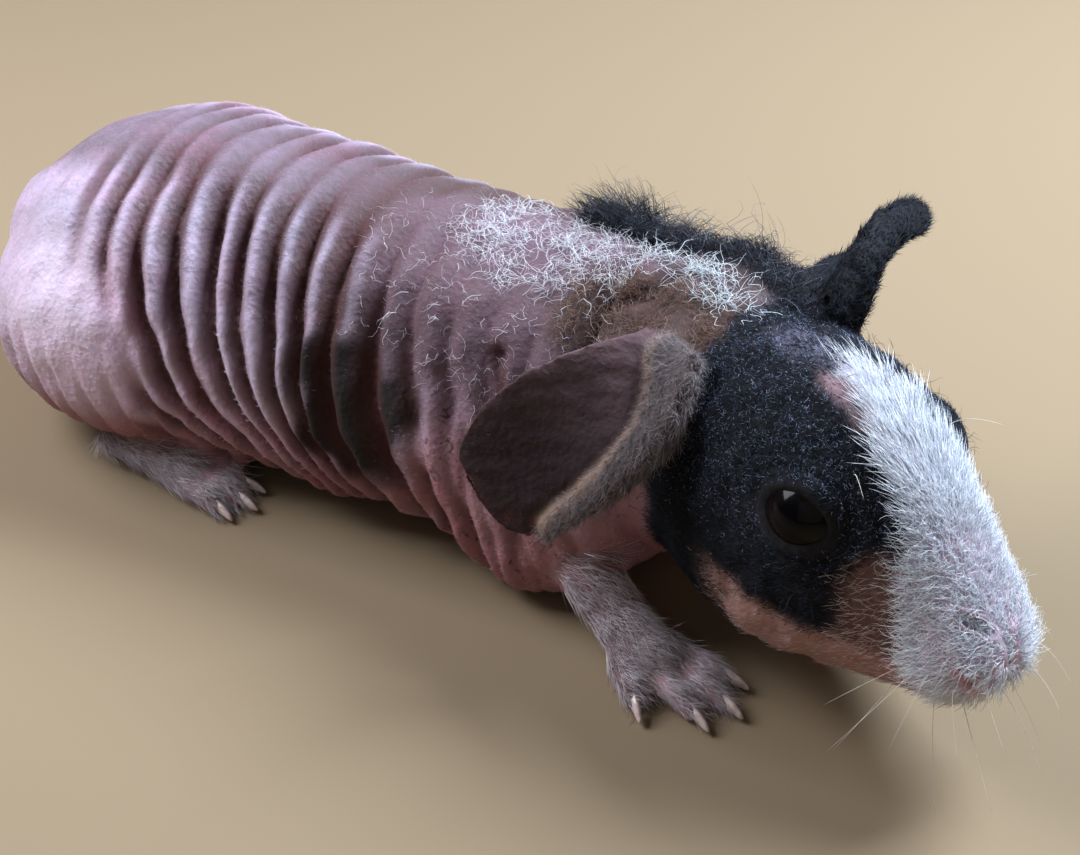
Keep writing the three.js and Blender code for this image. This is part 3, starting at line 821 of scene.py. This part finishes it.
class Nodes:
    def __init__(self, name):
        self.material = bpy.data.materials.new(name)
        self.material.use_nodes = True
        self.tree = self.material.node_tree
        self.shader = next(node for node in self.tree.nodes if node.type == "BSDF_PRINCIPLED")

    def add(self, kind, settings=None, inputs=None, output=0):
        node = self.tree.nodes.new(kind)
        for name, value in (settings or {}).items():
            if name == "stops":
                ramp = node.color_ramp
                while len(ramp.elements) < len(value):
                    ramp.elements.new(0.5)
                for element, (place, colour) in zip(ramp.elements, value):
                    element.position, element.color = place, colour
            else:
                setattr(node, name, value)
        for name, value in (inputs or {}).items():
            self.plug(node.inputs[name], value)
        return Socket(self, node.outputs[output])

    def plug(self, socket, value):
        if isinstance(value, Socket):
            self.tree.links.new(value.output, socket)
        else:
            socket.default_value = value

    def stored(self, name):
        return self.add("ShaderNodeAttribute", {"attribute_name": name}, output=2)

    def noise(self, place, scale, detail, **more):
        inputs = {"Vector": place, "Scale": scale, "Detail": detail, **more}
        return self.add("ShaderNodeTexNoise", None, inputs)

    def ranged(self, value, low, high, first, last):
        return self.add("ShaderNodeMapRange", None, {"Value": value, 1: low, 2: high, 3: first, 4: last})

    def bump(self, height, strength, distance):
        inputs = {"Height": height, "Strength": strength, "Distance": distance}
        return self.add("ShaderNodeBump", None, inputs)

    def mixColours(self, share, first, second, blend="MIX"):
        settings = {"data_type": "RGBA", "blend_type": blend}
        return self.add("ShaderNodeMix", settings, {0: share, 6: first, 7: second}, 2)

    def finish(self, **inputs):
        for name, value in inputs.items():
            self.plug(self.shader.inputs[name.replace("_", " ")], value)
        return self.material


skinLook = {
    "frost": (0.78, 0.74, 0.86, 1), "warmth": (0.60, 0.22, 0.24, 1), "dots": (0.050, 0.022, 0.020, 1),
    "shine": 0.26, "glow": 0.18, "glowRadius": (1.0, 0.35, 0.22), "glowScale": 0.001,
}


def skinMaterial():
    n = Nodes("bare_skin")
    place = n.add("ShaderNodeTexCoord", output=3)
    base = n.add("ShaderNodeVertexColor", {"layer_name": "skinColour"})
    bareness, chest = n.stored("bareness"), n.stored("chest")
    mottle = n.noise(place, 520.0, 5.0, Roughness=0.65)
    frost = n.ranged(mottle, 0.4, 0.68, 0.0, 0.6) * (0.1 + 0.9 * bareness)
    light = n.mixColours(frost, base, skinLook["frost"], "SOFT_LIGHT")
    warmth = n.ranged(n.noise(place, 130.0, 3.0), 0.45, 0.72, 0.0, 0.4) * bareness
    warm = n.mixColours(warmth, light, skinLook["warmth"], "SOFT_LIGHT")
    dotted = n.ranged(n.noise(place, 900.0, 4.0, Distortion=0.8), 0.58, 0.66, 0.0, 0.85) * chest
    dotted = dotted * n.ranged(n.noise(place, 260.0, 2.0), 0.42, 0.6, 0.15, 1.0)
    speckled = n.mixColours(dotted, warm, skinLook["dots"])
    pores = n.add("ShaderNodeTexVoronoi", None, {"Vector": place, "Scale": 1500.0})
    lines = n.noise(place, 1300.0, 4.0, Roughness=0.65)
    rough = n.ranged(mottle, 0.3, 0.7, 0.5, 0.68) + 0.24 * (1 - bareness)
    n.finish(Subsurface_Weight=skinLook["glow"], Subsurface_Radius=skinLook["glowRadius"])
    n.finish(Subsurface_Scale=skinLook["glowScale"], Specular_IOR_Level=skinLook["shine"])
    return n.finish(Base_Color=speckled, Roughness=rough, Normal=n.bump(pores * 0.5 + lines, 0.5, 0.0003))


skin.data.materials.append(skinMaterial())
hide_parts(*fleshNodes)
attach(skin, "root")


# Eyes: glossy balls with a faint brown iris under the cornea

eyeLook = {
    "rings": 40, "segments": 64, "corneaReach": 2.6, "corneaRise": 0.18, "roughness": 0.14, "shine": 0.06,
    "pupil": (0.002, 0.002, 0.003, 1), "iris": (0.010, 0.006, 0.005, 1), "coat": 0.1, "coatRoughness": 0.03,
}


def eyeMaterial():
    n = Nodes("wet_eye")
    streaks = n.noise(n.add("ShaderNodeTexCoord", output=3), 900.0, 3.0)
    brown = n.mixColours(n.stored("iris") * streaks, eyeLook["pupil"], eyeLook["iris"])
    n.finish(Coat_Weight=eyeLook["coat"], Coat_Roughness=eyeLook["coatRoughness"])
    return n.finish(Base_Color=brown, Roughness=eyeLook["roughness"], Specular_IOR_Level=eyeLook["shine"])


def addEye(side, material):
    centre, gaze = eyeField(np.zeros((1, 3)), side == "right")[:2]
    bpy.ops.mesh.primitive_uv_sphere_add(
        segments=eyeLook["segments"], ring_count=eyeLook["rings"], radius=eye["radius"] * millimetre
    )
    ball = bpy.context.object
    ball.name = ball.data.name = "eyeball_" + side
    turned = Vector((0, 0, 1)).rotation_difference(Vector(gaze)).to_matrix()
    local = corners(ball) / millimetre
    reach = np.hypot(local[:, 0], local[:, 1])
    bulge = np.clip(1 - (reach / eyeLook["corneaReach"]) ** 2, 0, 1) ** 1.4
    rise = eyeLook["corneaRise"] * bulge * (local[:, 2] > 0)
    iris = smooth(2.9, 2.4, reach) * smooth(1.3, 1.7, reach) * (local[:, 2] > 0)
    local = local * (1 + rise / eye["radius"])[:, None]
    setCorners(ball, toScene(local @ np.array(turned).T + centre))
    storeValues(ball, "iris", iris)
    bpy.ops.object.shade_smooth()
    ball.data.materials.append(material)
    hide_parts("eye_" + side)
    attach(ball, "root")


wetEye = eyeMaterial()
for side in sides:
    addEye(side, wetEye)
print("eyes set")


# Claws: the solids' own, rounded

clawLook = {
    "stops": [(0.3, (0.50, 0.36, 0.34, 1)), (0.7, (0.78, 0.66, 0.62, 1))],
    "roughness": 0.35, "glow": 0.2, "glowScale": 0.0005, "rounding": 2,
}


def clawMaterial():
    n = Nodes("claw_horn")
    grain = n.noise(n.add("ShaderNodeTexCoord", output=3), 1600.0, 3.0)
    colour = n.add("ShaderNodeValToRGB", {"stops": clawLook["stops"]}, {"Fac": grain})
    n.finish(Subsurface_Weight=clawLook["glow"], Subsurface_Scale=clawLook["glowScale"])
    return n.finish(Base_Color=colour, Roughness=clawLook["roughness"], Normal=n.bump(grain, 0.2, 0.0001))


def addClaws():
    names = sorted(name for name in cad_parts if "_claw_" in name)
    made = joined([mergedCopy(name) for name in names], "claws")
    applyModifier(made, "SUBSURF", levels=clawLook["rounding"], render_levels=clawLook["rounding"])
    onlySelect(made)
    bpy.ops.object.shade_smooth()
    made.data.materials.append(clawMaterial())
    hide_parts(*names)
    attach(made, "root")


addClaws()
print("claws set")


# Coat: each hair is a thin closed cone of a few rings, bent along the lie of the coat


class Roots:
    # Points spread over the skin's faces, with their normals, masks and places on the skin's own unwrap
    def __init__(self, piece):
        mesh = piece.data
        mesh.calc_loop_triangles()
        self.faces = gathered(mesh.loop_triangles, "vertices", 3, int)
        self.loops = gathered(mesh.loop_triangles, "loops", 3, int)
        self.points = toModel(corners(piece))
        self.normals = normalsOf(piece)
        a, b, c = (self.points[self.faces[:, k]] for k in range(3))
        self.areas = np.linalg.norm(np.cross(b - a, c - a), axis=1) / 2
        self.uv = gathered(mesh.uv_layers["skinMap"].data, "uv", 2)
        self.uvOfVertex = np.zeros((len(self.points), 2))
        self.uvOfVertex[self.faces.ravel()] = self.uv[self.loops.ravel()]

    def at(self, values, face, share):
        return (values[self.faces[face]] * share[..., None]).sum(1)

    def spread(self, density, seed):
        # density: roots for each square millimetre at each corner of the skin
        draw = np.random.RandomState(seed)
        each = density[self.faces].mean(1) * self.areas
        many = draw.poisson(each)
        face = np.repeat(np.arange(len(many)), many)
        share = draw.dirichlet((1, 1, 1), len(face))
        place = self.at(self.points, face, share)
        normal = unit(self.at(self.normals, face, share))
        uv = (self.uv[self.loops[face]] * share[..., None]).sum(1)
        return place, normal, uv, self.at(skinTones, face, share), draw


def unwrapSkin(piece):
    piece.data.uv_layers.new(name="skinMap")
    onWholeMesh(piece, bpy.ops.uv.smart_project, angle_limit=math.radians(66), island_margin=0.004)


unwrapSkin(skin)
print("skin unwrapped")
roots = Roots(skin)
coatRules = {
    "pieceLimit": 190000,  # triangles in one piece
    "bakePatch": 0.003,  # share of the unwrap that one hair spans
    "sunk": 0.1,  # how deep the roots stand in the skin
    "lowest": 0.06,  # how near a hair may come to the floor
}


def hairRings(place, normal, lie, length, look, draw):
    # The middles of a hair's rings, from its root to its tip
    count = len(place)
    along = unit(lie - (lie * normal).sum(1, keepdims=True) * normal)
    across = np.cross(normal, along)
    along = unit(along + across * draw.normal(size=(count, 1)) * look["stray"])
    across = np.cross(normal, along)
    phase = draw.uniform(0, fullTurn, (count, 1))
    sway = draw.normal(size=(count, 1)) * look["sway"]
    turns = look["turns"] * draw.uniform(0.6, 1.4, (count, 1))
    turns = turns * np.where(draw.uniform(size=(count, 1)) < 0.5, -1, 1)
    lift = look["lift"] * draw.uniform(0.6, 1.4, (count, 1))
    rings = []
    for step in range(look["steps"] + 1):
        share = step / look["steps"]
        rise = lift * share * (1 - look["droop"] * share)
        bow = along * share * (1 - 0.25 * lift) + normal * rise + across * sway * share**1.5
        spin = phase + turns * fullTurn * share
        coil = across * np.sin(spin) + normal * 0.5 * (1 + np.cos(spin)) + along * 0.5 * np.cos(spin)
        middle = place + length * bow
        rings.append(middle + look["curl"] * min(1, share * 2.5) * coil - normal * coatRules["sunk"])
    return np.array(rings)


def hairFaces(steps):
    faces = [(2, 1, 0)]
    for step in range(steps - 1):
        for k in range(3):
            a, b = step * 3 + k, step * 3 + (k + 1) % 3
            faces += [(a, b, b + 3), (a, b + 3, a + 3)]
    last = (steps - 1) * 3
    return np.array(faces + [(last + k, last + (k + 1) % 3, steps * 3) for k in range(3)])


def hairMesh(name, rings, normal, width, uv, colours, slotName, material):
    steps = len(rings) - 1
    count = len(normal)
    heading = unit(np.gradient(rings, axis=0))
    side = unit(np.cross(heading, normal[None]))
    up = np.cross(side, heading)
    vertices = []
    for step in range(steps):
        taper = width[:, None] * (1 - step / steps) ** 0.6 / 2
        for k in range(3):
            spot = 2 * math.pi * k / 3
            vertices.append(rings[step] + (side[step] * math.cos(spot) + up[step] * math.sin(spot)) * taper)
    vertices = np.array(vertices + [rings[steps]]).transpose(1, 0, 2)
    each = vertices.shape[1]
    flat = vertices.reshape(-1, 3)
    flat[:, 2] = np.maximum(flat[:, 2], coatRules["lowest"])
    faces = (hairFaces(steps)[None] + (np.arange(count) * each)[:, None, None]).reshape(-1, 3)
    mesh = bpy.data.meshes.new(name)
    mesh.vertices.add(len(flat))
    mesh.vertices.foreach_set("co", toScene(flat).ravel())
    mesh.loops.add(len(faces) * 3)
    mesh.loops.foreach_set("vertex_index", faces.ravel().astype(np.int32))
    mesh.polygons.add(len(faces))
    mesh.polygons.foreach_set("loop_start", np.arange(0, len(faces) * 3, 3, dtype=np.int32))
    mesh.update(calc_edges=True)
    made = bpy.data.objects.new(name, mesh)
    bpy.context.scene.collection.objects.link(made)
    towardsTip = np.append(np.repeat(np.arange(steps) / steps, 3), 1.0)
    storeColours(made, "coatColour", np.repeat(colours, each, 0))
    storeValues(made, "towardsTip", np.tile(towardsTip, count))
    # Every hair has a small patch of its own, round its root's place on the skin's unwrap
    aside = np.append(np.tile([0.0, 0.5, 1.0], steps), 0.5)
    patch = np.tile(np.stack([towardsTip - 0.5, aside - 0.5], 1) * coatRules["bakePatch"], (count, 1))
    spots = np.repeat(uv, each, 0) + patch
    layer = mesh.uv_layers.new(name="OFBake")
    layer.data.foreach_set("uv", spots[faces.ravel()].ravel().astype(np.float32))
    onlySelect(made)
    bpy.ops.object.shade_smooth()
    mesh.materials.append(material)
    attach(made, "root")
    return len(faces)


def lieBack(place, draw):
    # Over the body the hair runs backwards and down
    return np.tile(np.array([-1.0, 0.0, -0.25]), (len(place), 1))


def lieOnFace(place, draw):
    # On the head it runs back from the nose, over the crown and down the cheeks
    inHead = toHead(place)
    flow = np.stack([-np.ones(len(place)), 0.06 * inHead[:, 1], -0.25 * smooth(6, -4, inHead[:, 2])], 1)
    return flow @ headAxes


def lieAnyway(place, draw):
    return draw.normal(size=(len(place), 3)) + np.array([-0.4, 0, 0])


def lieOnEars(place, draw):
    # On the ears it runs from the root outwards
    root = fromHead(onOwnSide(toHead(place), (-8.5, 6.5, 10.8)))
    return unit(place - root) + 0.25 * draw.normal(size=place.shape)


def lieOnFeet(place, draw):
    # On the feet it runs over the toes
    ones = np.ones(len(place))
    return np.stack([ones, np.sign(place[:, 1]) * 0.15, -0.15 * ones], 1)


def blazeLength(place):
    return 2.7 - 1.3 * smooth(12, 21, toHead(place)[:, 0])


def crestLength(place):
    return 1.7 + 3.2 * bell(place[:, 0] - 9.5, 4.5)


plainLook = {
    "lie": lieAnyway, "slot": "dark_skin", "coat": "soft", "likeSkin": 0.0, "steps": 3, "width": 0.06,
    "lift": 0.3, "droop": 0.35, "sway": 0.12, "stray": 0.25, "curl": 0.0, "turns": 1.0,
}
hairLooks = {
    # hairs for each square millimetre, length in millimetres, the two colours that the hairs vary between,
    # and whatever differs from the plain look
    "blaze_hair": {
        "seed": 101, "density": 26, "length": blazeLength, "lie": lieOnFace,
        "colours": ((0.93, 0.97, 1.0), (0.58, 0.62, 0.74)), "width": 0.08, "stray": 0.2, "lift": 0.34,
    },
    "muzzle_hair": {
        "seed": 102, "density": 25, "length": 1.7, "colours": ((0.93, 0.97, 1.0), (0.66, 0.68, 0.80)),
        "lie": lieOnFace, "steps": 4, "width": 0.07, "lift": 0.5, "curl": 0.22, "turns": 0.6, "sway": 0.35,
        "stray": 0.6,
    },
    "cheek_hair": {
        "seed": 103, "density": 6, "length": 1.3, "colours": ((0.62, 0.50, 0.46), (0.26, 0.16, 0.13)),
        "lie": lieOnFace, "width": 0.05, "lift": 0.45, "sway": 0.3, "stray": 0.5,
    },
    "crown_hair": {
        "seed": 104, "density": 34, "length": 0.8, "colours": ((0.004, 0.005, 0.008), (0.018, 0.022, 0.036)),
        "lie": lieOnFace, "steps": 1, "width": 0.085, "lift": 0.55, "stray": 0.7, "coat": "dark",
    },
    "crown_glint": {
        "seed": 105, "density": 9, "length": 0.5, "colours": ((0.08, 0.11, 0.20), (0.40, 0.50, 0.76)),
        "steps": 2, "width": 0.045, "lift": 0.5, "curl": 0.12,
    },
    "crown_curls": {
        "seed": 106, "density": 0.5, "length": 2.4, "colours": ((0.010, 0.012, 0.018), (0.05, 0.06, 0.09)),
        "steps": 6, "width": 0.055, "lift": 0.6, "curl": 0.3, "turns": 0.8, "coat": "dark",
    },
    "jaw_hair": {
        "seed": 107, "density": 5, "length": 0.9, "colours": ((0.62, 0.55, 0.52), (0.40, 0.30, 0.28)),
        "lie": lieOnFace, "steps": 2, "width": 0.045, "lift": 0.4, "stray": 0.5,
    },
    "body_down": {
        "seed": 111, "density": 6.0, "length": 0.62, "colours": ((0.66, 0.62, 0.74), (0.40, 0.33, 0.38)),
        "lie": lieBack, "slot": "body_skin", "steps": 1, "width": 0.05, "lift": 0.5, "stray": 0.6,
        "likeSkin": 0.72,
    },
    "shoulder_curls": {
        "seed": 112, "density": 1.3, "length": 1.9, "colours": ((0.85, 0.80, 0.86), (0.50, 0.44, 0.50)),
        "slot": "body_skin", "steps": 5, "width": 0.05, "lift": 0.4, "curl": 0.28, "turns": 0.9,
    },
    "nape_curls": {
        "seed": 113, "density": 6, "length": 2.8, "colours": ((0.95, 0.98, 1.0), (0.66, 0.66, 0.74)),
        "slot": "body_skin", "steps": 7, "width": 0.058, "lift": 0.35, "curl": 0.36, "turns": 1.1,
    },
    "neck_curls": {
        "seed": 114, "density": 7, "length": 2.7, "colours": ((0.90, 0.97, 1.0), (0.55, 0.62, 0.70)),
        "slot": "body_skin", "steps": 6, "width": 0.075, "lift": 0.5, "curl": 0.36, "turns": 0.9,
    },
    "tan_curls": {
        "seed": 115, "density": 11, "length": 2.0, "colours": ((0.25, 0.15, 0.10), (0.045, 0.022, 0.018)),
        "slot": "body_skin", "steps": 6, "width": 0.055, "lift": 0.4, "curl": 0.32,
    },
    "crest_curls": {
        "seed": 116, "density": 22, "length": crestLength,
        "colours": ((0.010, 0.010, 0.014), (0.045, 0.047, 0.062)),
        "coat": "dark", "steps": 6, "width": 0.07, "lift": 0.7, "curl": 0.5, "turns": 1.2,
    },
    "crest_wisps": {
        "seed": 117, "density": 2.6, "length": 4.6, "colours": ((0.020, 0.022, 0.030), (0.16, 0.18, 0.24)),
        "steps": 9, "lift": 0.85, "curl": 0.75, "turns": 1.3,
    },
    "ear_roll_hair": {
        "seed": 121, "density": 24, "length": 1.2, "colours": ((0.32, 0.27, 0.28), (0.06, 0.05, 0.052)),
        "lie": lieOnEars, "slot": "ear_skin", "width": 0.05, "lift": 0.6, "sway": 0.3, "stray": 0.8,
    },
    "ear_down": {
        "seed": 122, "density": 16, "length": 0.5, "colours": ((0.12, 0.085, 0.09), (0.045, 0.03, 0.034)),
        "lie": lieOnEars, "slot": "ear_skin", "steps": 1, "width": 0.05, "lift": 0.35, "stray": 0.6,
    },
    "far_ear_hair": {
        "seed": 123, "density": 20, "length": 1.2, "colours": ((0.005, 0.006, 0.010), (0.022, 0.026, 0.040)),
        "lie": lieOnEars, "slot": "ear_skin", "coat": "dark", "steps": 2, "width": 0.07, "lift": 0.4,
        "stray": 0.5,
    },
    "foot_hair": {
        "seed": 131, "density": 22, "length": 2.7, "colours": ((0.78, 0.72, 0.78), (0.34, 0.26, 0.27)),
        "lie": lieOnFeet, "slot": "foot_skin", "width": 0.065, "lift": 0.2, "sway": 0.15, "stray": 0.3,
    },
}


def coatMaterial(name, tipLight, roughness, shine):
    n = Nodes(name)
    base = n.add("ShaderNodeVertexColor", {"layer_name": "coatColour"})
    colour = n.mixColours(n.stored("towardsTip") * tipLight, base, (1, 1, 1, 1), "SOFT_LIGHT")
    return n.finish(Base_Color=colour, Roughness=roughness, Specular_IOR_Level=shine)


coats = {
    "soft": coatMaterial("soft_coat", tipLight=0.5, roughness=0.55, shine=0.3),
    "dark": coatMaterial("dark_coat", tipLight=0.1, roughness=0.6, shine=0.12),
}
coatTotal = []


def growCoat(name, area):
    look = {**plainLook, **hairLooks[name]}
    place, normal, uv, underneath, draw = roots.spread(look["density"] * area, look["seed"])
    count = len(place)
    length = look["length"](place) if callable(look["length"]) else np.full(count, look["length"])
    length = length * draw.uniform(0.6, 1.3, count)
    share = np.clip(draw.beta(1.1, 1.1, count), 0, 1)
    first, second = look["colours"]
    colours = mix(np.tile(np.array(first, float), (count, 1)), second, share)
    colours = colours * (1 - look["likeSkin"]) + np.clip(underneath * 1.5 + 0.01, 0, 1) * look["likeSkin"]
    rings = hairRings(place, normal, look["lie"](place, draw), length[:, None], look, draw)
    width = look["width"] * draw.uniform(0.7, 1.2, count)
    pieces = math.ceil(count * (6 * look["steps"] - 2) / coatRules["pieceLimit"])
    for index, chosen in enumerate(np.array_split(draw.permutation(count), pieces)):
        label = name if pieces == 1 else f"{name}_{index + 1}"
        parts = [values[chosen] for values in (normal, width, uv, colours)]
        coatTotal.append(hairMesh(label, rings[:, chosen], *parts, look["slot"], coats[look["coat"]]))
    print(name, count, "hairs in", pieces, "pieces,", sum(coatTotal), "triangles so far")


ears, feet = shaped["ears"], shaped["feet"]
headArea = marks["headness"] * (1 - ears) * (1 - feet)
bodyArea = (1 - marks["headness"]) * (1 - ears) * (1 - feet)
lidShare = np.ones(len(skinPoints))
for isRight in (True, False):
    _, _, gap, ahead, a, b = eyeField(skinPoints, isRight)
    offLid = np.where((gap < 7) & (ahead > 0), smooth(1.14, 1.34, openingShare(a, b)), 1)
    lidShare = np.minimum(lidShare, offLid)
offMouth = 1 - 0.9 * marks["lips"]
offFloor = smooth(0.5, 1.6, skinPoints[:, 2])
facing = normalsOf(skin)[:, 2]
upwards = smooth(-0.5, 0.2, facing)


def headAreas():
    forward, _, height = marks["inHead"].T
    white = marks["blaze"] * headArea * lidShare * (1 - 0.6 * marks["bare"]) * offMouth
    white = white * (0.4 + 0.6 * smooth(2, 9, forward))
    nose = smooth(15, 18, forward)
    edge = marks["brownFace"] * (1 - marks["muzzle"]) * (1 - marks["blaze"]) * (1 - 0.6 * marks["jaw"])
    dark = marks["dark"] * headArea * lidShare * offFloor
    return {
        "blaze_hair": white * (1 - nose),
        "muzzle_hair": np.maximum(marks["muzzle"], white * nose) * headArea * offMouth,
        "cheek_hair": edge * headArea * lidShare,
        "crown_hair": dark,
        "crown_glint": dark * upwards * smooth(-2, 5, height),
        "crown_curls": dark * upwards,
        "jaw_hair": marks["jaw"] * headArea * offMouth,
    }


def clumped(share):
    return share * smooth(-0.5, 0.35, wave(skinPoints, 2.6, 141))


def bodyAreas():
    x = skinPoints[:, 0]
    bare = bodyArea * offFloor * (1 - 0.7 * np.clip(shaped["valley"], 0, 1))
    bare = bare * (1 - 0.92 * marks["flankPatch"]) * (1 - 0.8 * marks["tanNape"])
    crest = marks["crest"] * np.clip(bodyArea + headArea, 0, 1)
    return {
        "body_down": bare,
        "shoulder_curls": clumped(marks["shoulder"] * bare),
        "nape_curls": clumped(marks["whiteNape"] * (1 - 0.8 * marks["crest"]) * bodyArea),
        "neck_curls": clumped(marks["whiteNeck"] * np.clip(bodyArea + 0.5 * headArea, 0, 1)),
        "tan_curls": clumped(marks["tanNape"] * (1 - marks["whiteNeck"]) * bodyArea),
        "crest_curls": crest * (0.5 + 0.5 * bell(x - 9, 6)),
        "crest_wisps": crest * (0.35 + 0.65 * bell(x - 10, 5)),
    }


def limbAreas():
    near = ears * (marks["inHead"][:, 1] < 0)
    roll = marks["earRoll"] * near
    return {
        "ear_roll_hair": roll,
        "ear_down": near * (1 - roll),
        "far_ear_hair": ears * (marks["inHead"][:, 1] > 0),
        "foot_hair": feet * smooth(0.7, 1.6, skinPoints[:, 2]) * smooth(-0.6, 0.0, facing),
    }


for areas in (headAreas(), bodyAreas(), limbAreas()):
    for name, area in areas.items():
        growCoat(name, area)


# Whiskers: named roots on the muzzle and chin, each a long soft bow

whiskers = [
    # root on the head (head axes, right side), the way it leaves, the way it bends, length
    ((20.0, -5.2, -4.6), (0.3, -1.0, -0.3), (-0.2, 0.1, -0.9), 6.0),
    ((18.6, -5.6, -5.6), (0.1, -1.0, -0.2), (-0.5, 0.0, -0.9), 7.5),
    ((17.0, -5.8, -6.4), (-0.2, -1.0, -0.1), (-0.6, 0.2, -0.9), 5.5),
    ((21.6, -4.2, -5.2), (0.7, -0.9, -0.3), (0.2, 0.3, -0.9), 5.0),
    ((22.8, -2.6, -5.8), (1.0, -0.6, -0.3), (0.2, 0.3, -0.9), 4.5),
    ((19.6, -3.6, -9.4), (0.5, -0.7, -0.6), (0.3, 0.2, -1.0), 6.5),
    ((21.2, -2.0, -9.2), (0.8, -0.4, -0.6), (0.3, 0.2, -1.0), 6.5),
    ((16.0, -4.6, -9.6), (0.0, -0.8, -0.6), (-0.5, 0.2, -0.8), 6.5),
    ((10.4, -6.4, 9.6), (0.5, -0.5, 1.0), (0.6, -0.3, -0.8), 4.5),
]
whiskerLook = {
    "steps": 9, "width": 0.075, "bend": 0.75, "sunk": 0.15, "lowest": 0.2, "colour": (0.80, 0.72, 0.62),
}


def addWhiskers():
    faces = [list(face.vertices) for face in skin.data.polygons]
    tree = BVHTree.FromPolygons([Vector(point) for point in skinPoints], faces)
    share = np.linspace(0, 1, whiskerLook["steps"] + 1)[:, None]
    rings, normals = [], []
    for root, leave, bend, length in whiskers:
        for side in (1, -1):
            flip = np.array([1, side, 1])
            place, normal, _, _ = tree.find_nearest(Vector(fromHead(np.array(root) * flip)))
            start = unit(np.array(leave) * flip @ headAxes)
            turned = np.array(bend) * flip @ headAxes
            bow = length * (start * share + turned * whiskerLook["bend"] * share**1.9)
            rings.append(np.array(place) + bow - np.array(normal) * whiskerLook["sunk"])
            normals.append(normal)
    rings, normals = np.array(rings).transpose(1, 0, 2), np.array(normals)
    rings[:, :, 2] = np.maximum(rings[:, :, 2], whiskerLook["lowest"])
    colours = np.tile(np.array(whiskerLook["colour"]), (len(normals), 1))
    nearest = [int(np.argmin(((skinPoints - ring) ** 2).sum(1))) for ring in rings[0]]
    uv = roots.uvOfVertex[nearest]
    width = np.full(len(normals), whiskerLook["width"])
    hairMesh("whiskers", rings, normals, width, uv, colours, "body_skin", coats["soft"])


addWhiskers()
print("whiskers set")


# Floor and lights

stage = {"floor": (0.26, 0.19, 0.115, 1), "sky": (0.82, 0.86, 0.92, 1), "ambient": 0.07, "lit": (5, -6, 10)}
lamps = {
    # place from the animal's own origin, size in metres, power, colour
    "window": ((110, 170, 240), 0.14, 2.45, (0.76, 0.87, 1.0)),
    "leftWindow": ((-195, -55, 200), 0.15, 0.95, (0.88, 0.92, 1.0)),
    "nearSide": ((120, -260, 160), 0.30, 0.07, (1.0, 0.93, 0.86)),
}


def addFloor():
    bpy.ops.mesh.primitive_plane_add(size=3, location=(0, 0, 0))
    floor = bpy.context.object
    floor.name = "floor"
    n = Nodes("plain_floor")
    floor.data.materials.append(n.finish(Base_Color=stage["floor"], Roughness=0.9))


def addLight(name, place, size, power, colour):
    spot = Vector(toScene(place))
    bpy.ops.object.light_add(type="AREA", location=spot)
    lamp = bpy.context.object
    lamp.name = name
    lamp.data.size = size
    lamp.data.energy = power
    lamp.data.color = colour
    lamp.rotation_euler = (spot - Vector(toScene(stage["lit"]))).to_track_quat("Z", "Y").to_euler()


def addWorld():
    world = bpy.data.worlds.new("surroundings")
    bpy.context.scene.world = world
    world.use_nodes = True
    background = world.node_tree.nodes["Background"]
    background.inputs["Color"].default_value = stage["sky"]
    background.inputs["Strength"].default_value = stage["ambient"]


addFloor()
addWorld()
for name, settings in lamps.items():
    addLight(name, *settings)
bpy.context.scene.view_settings.view_transform = "Standard"
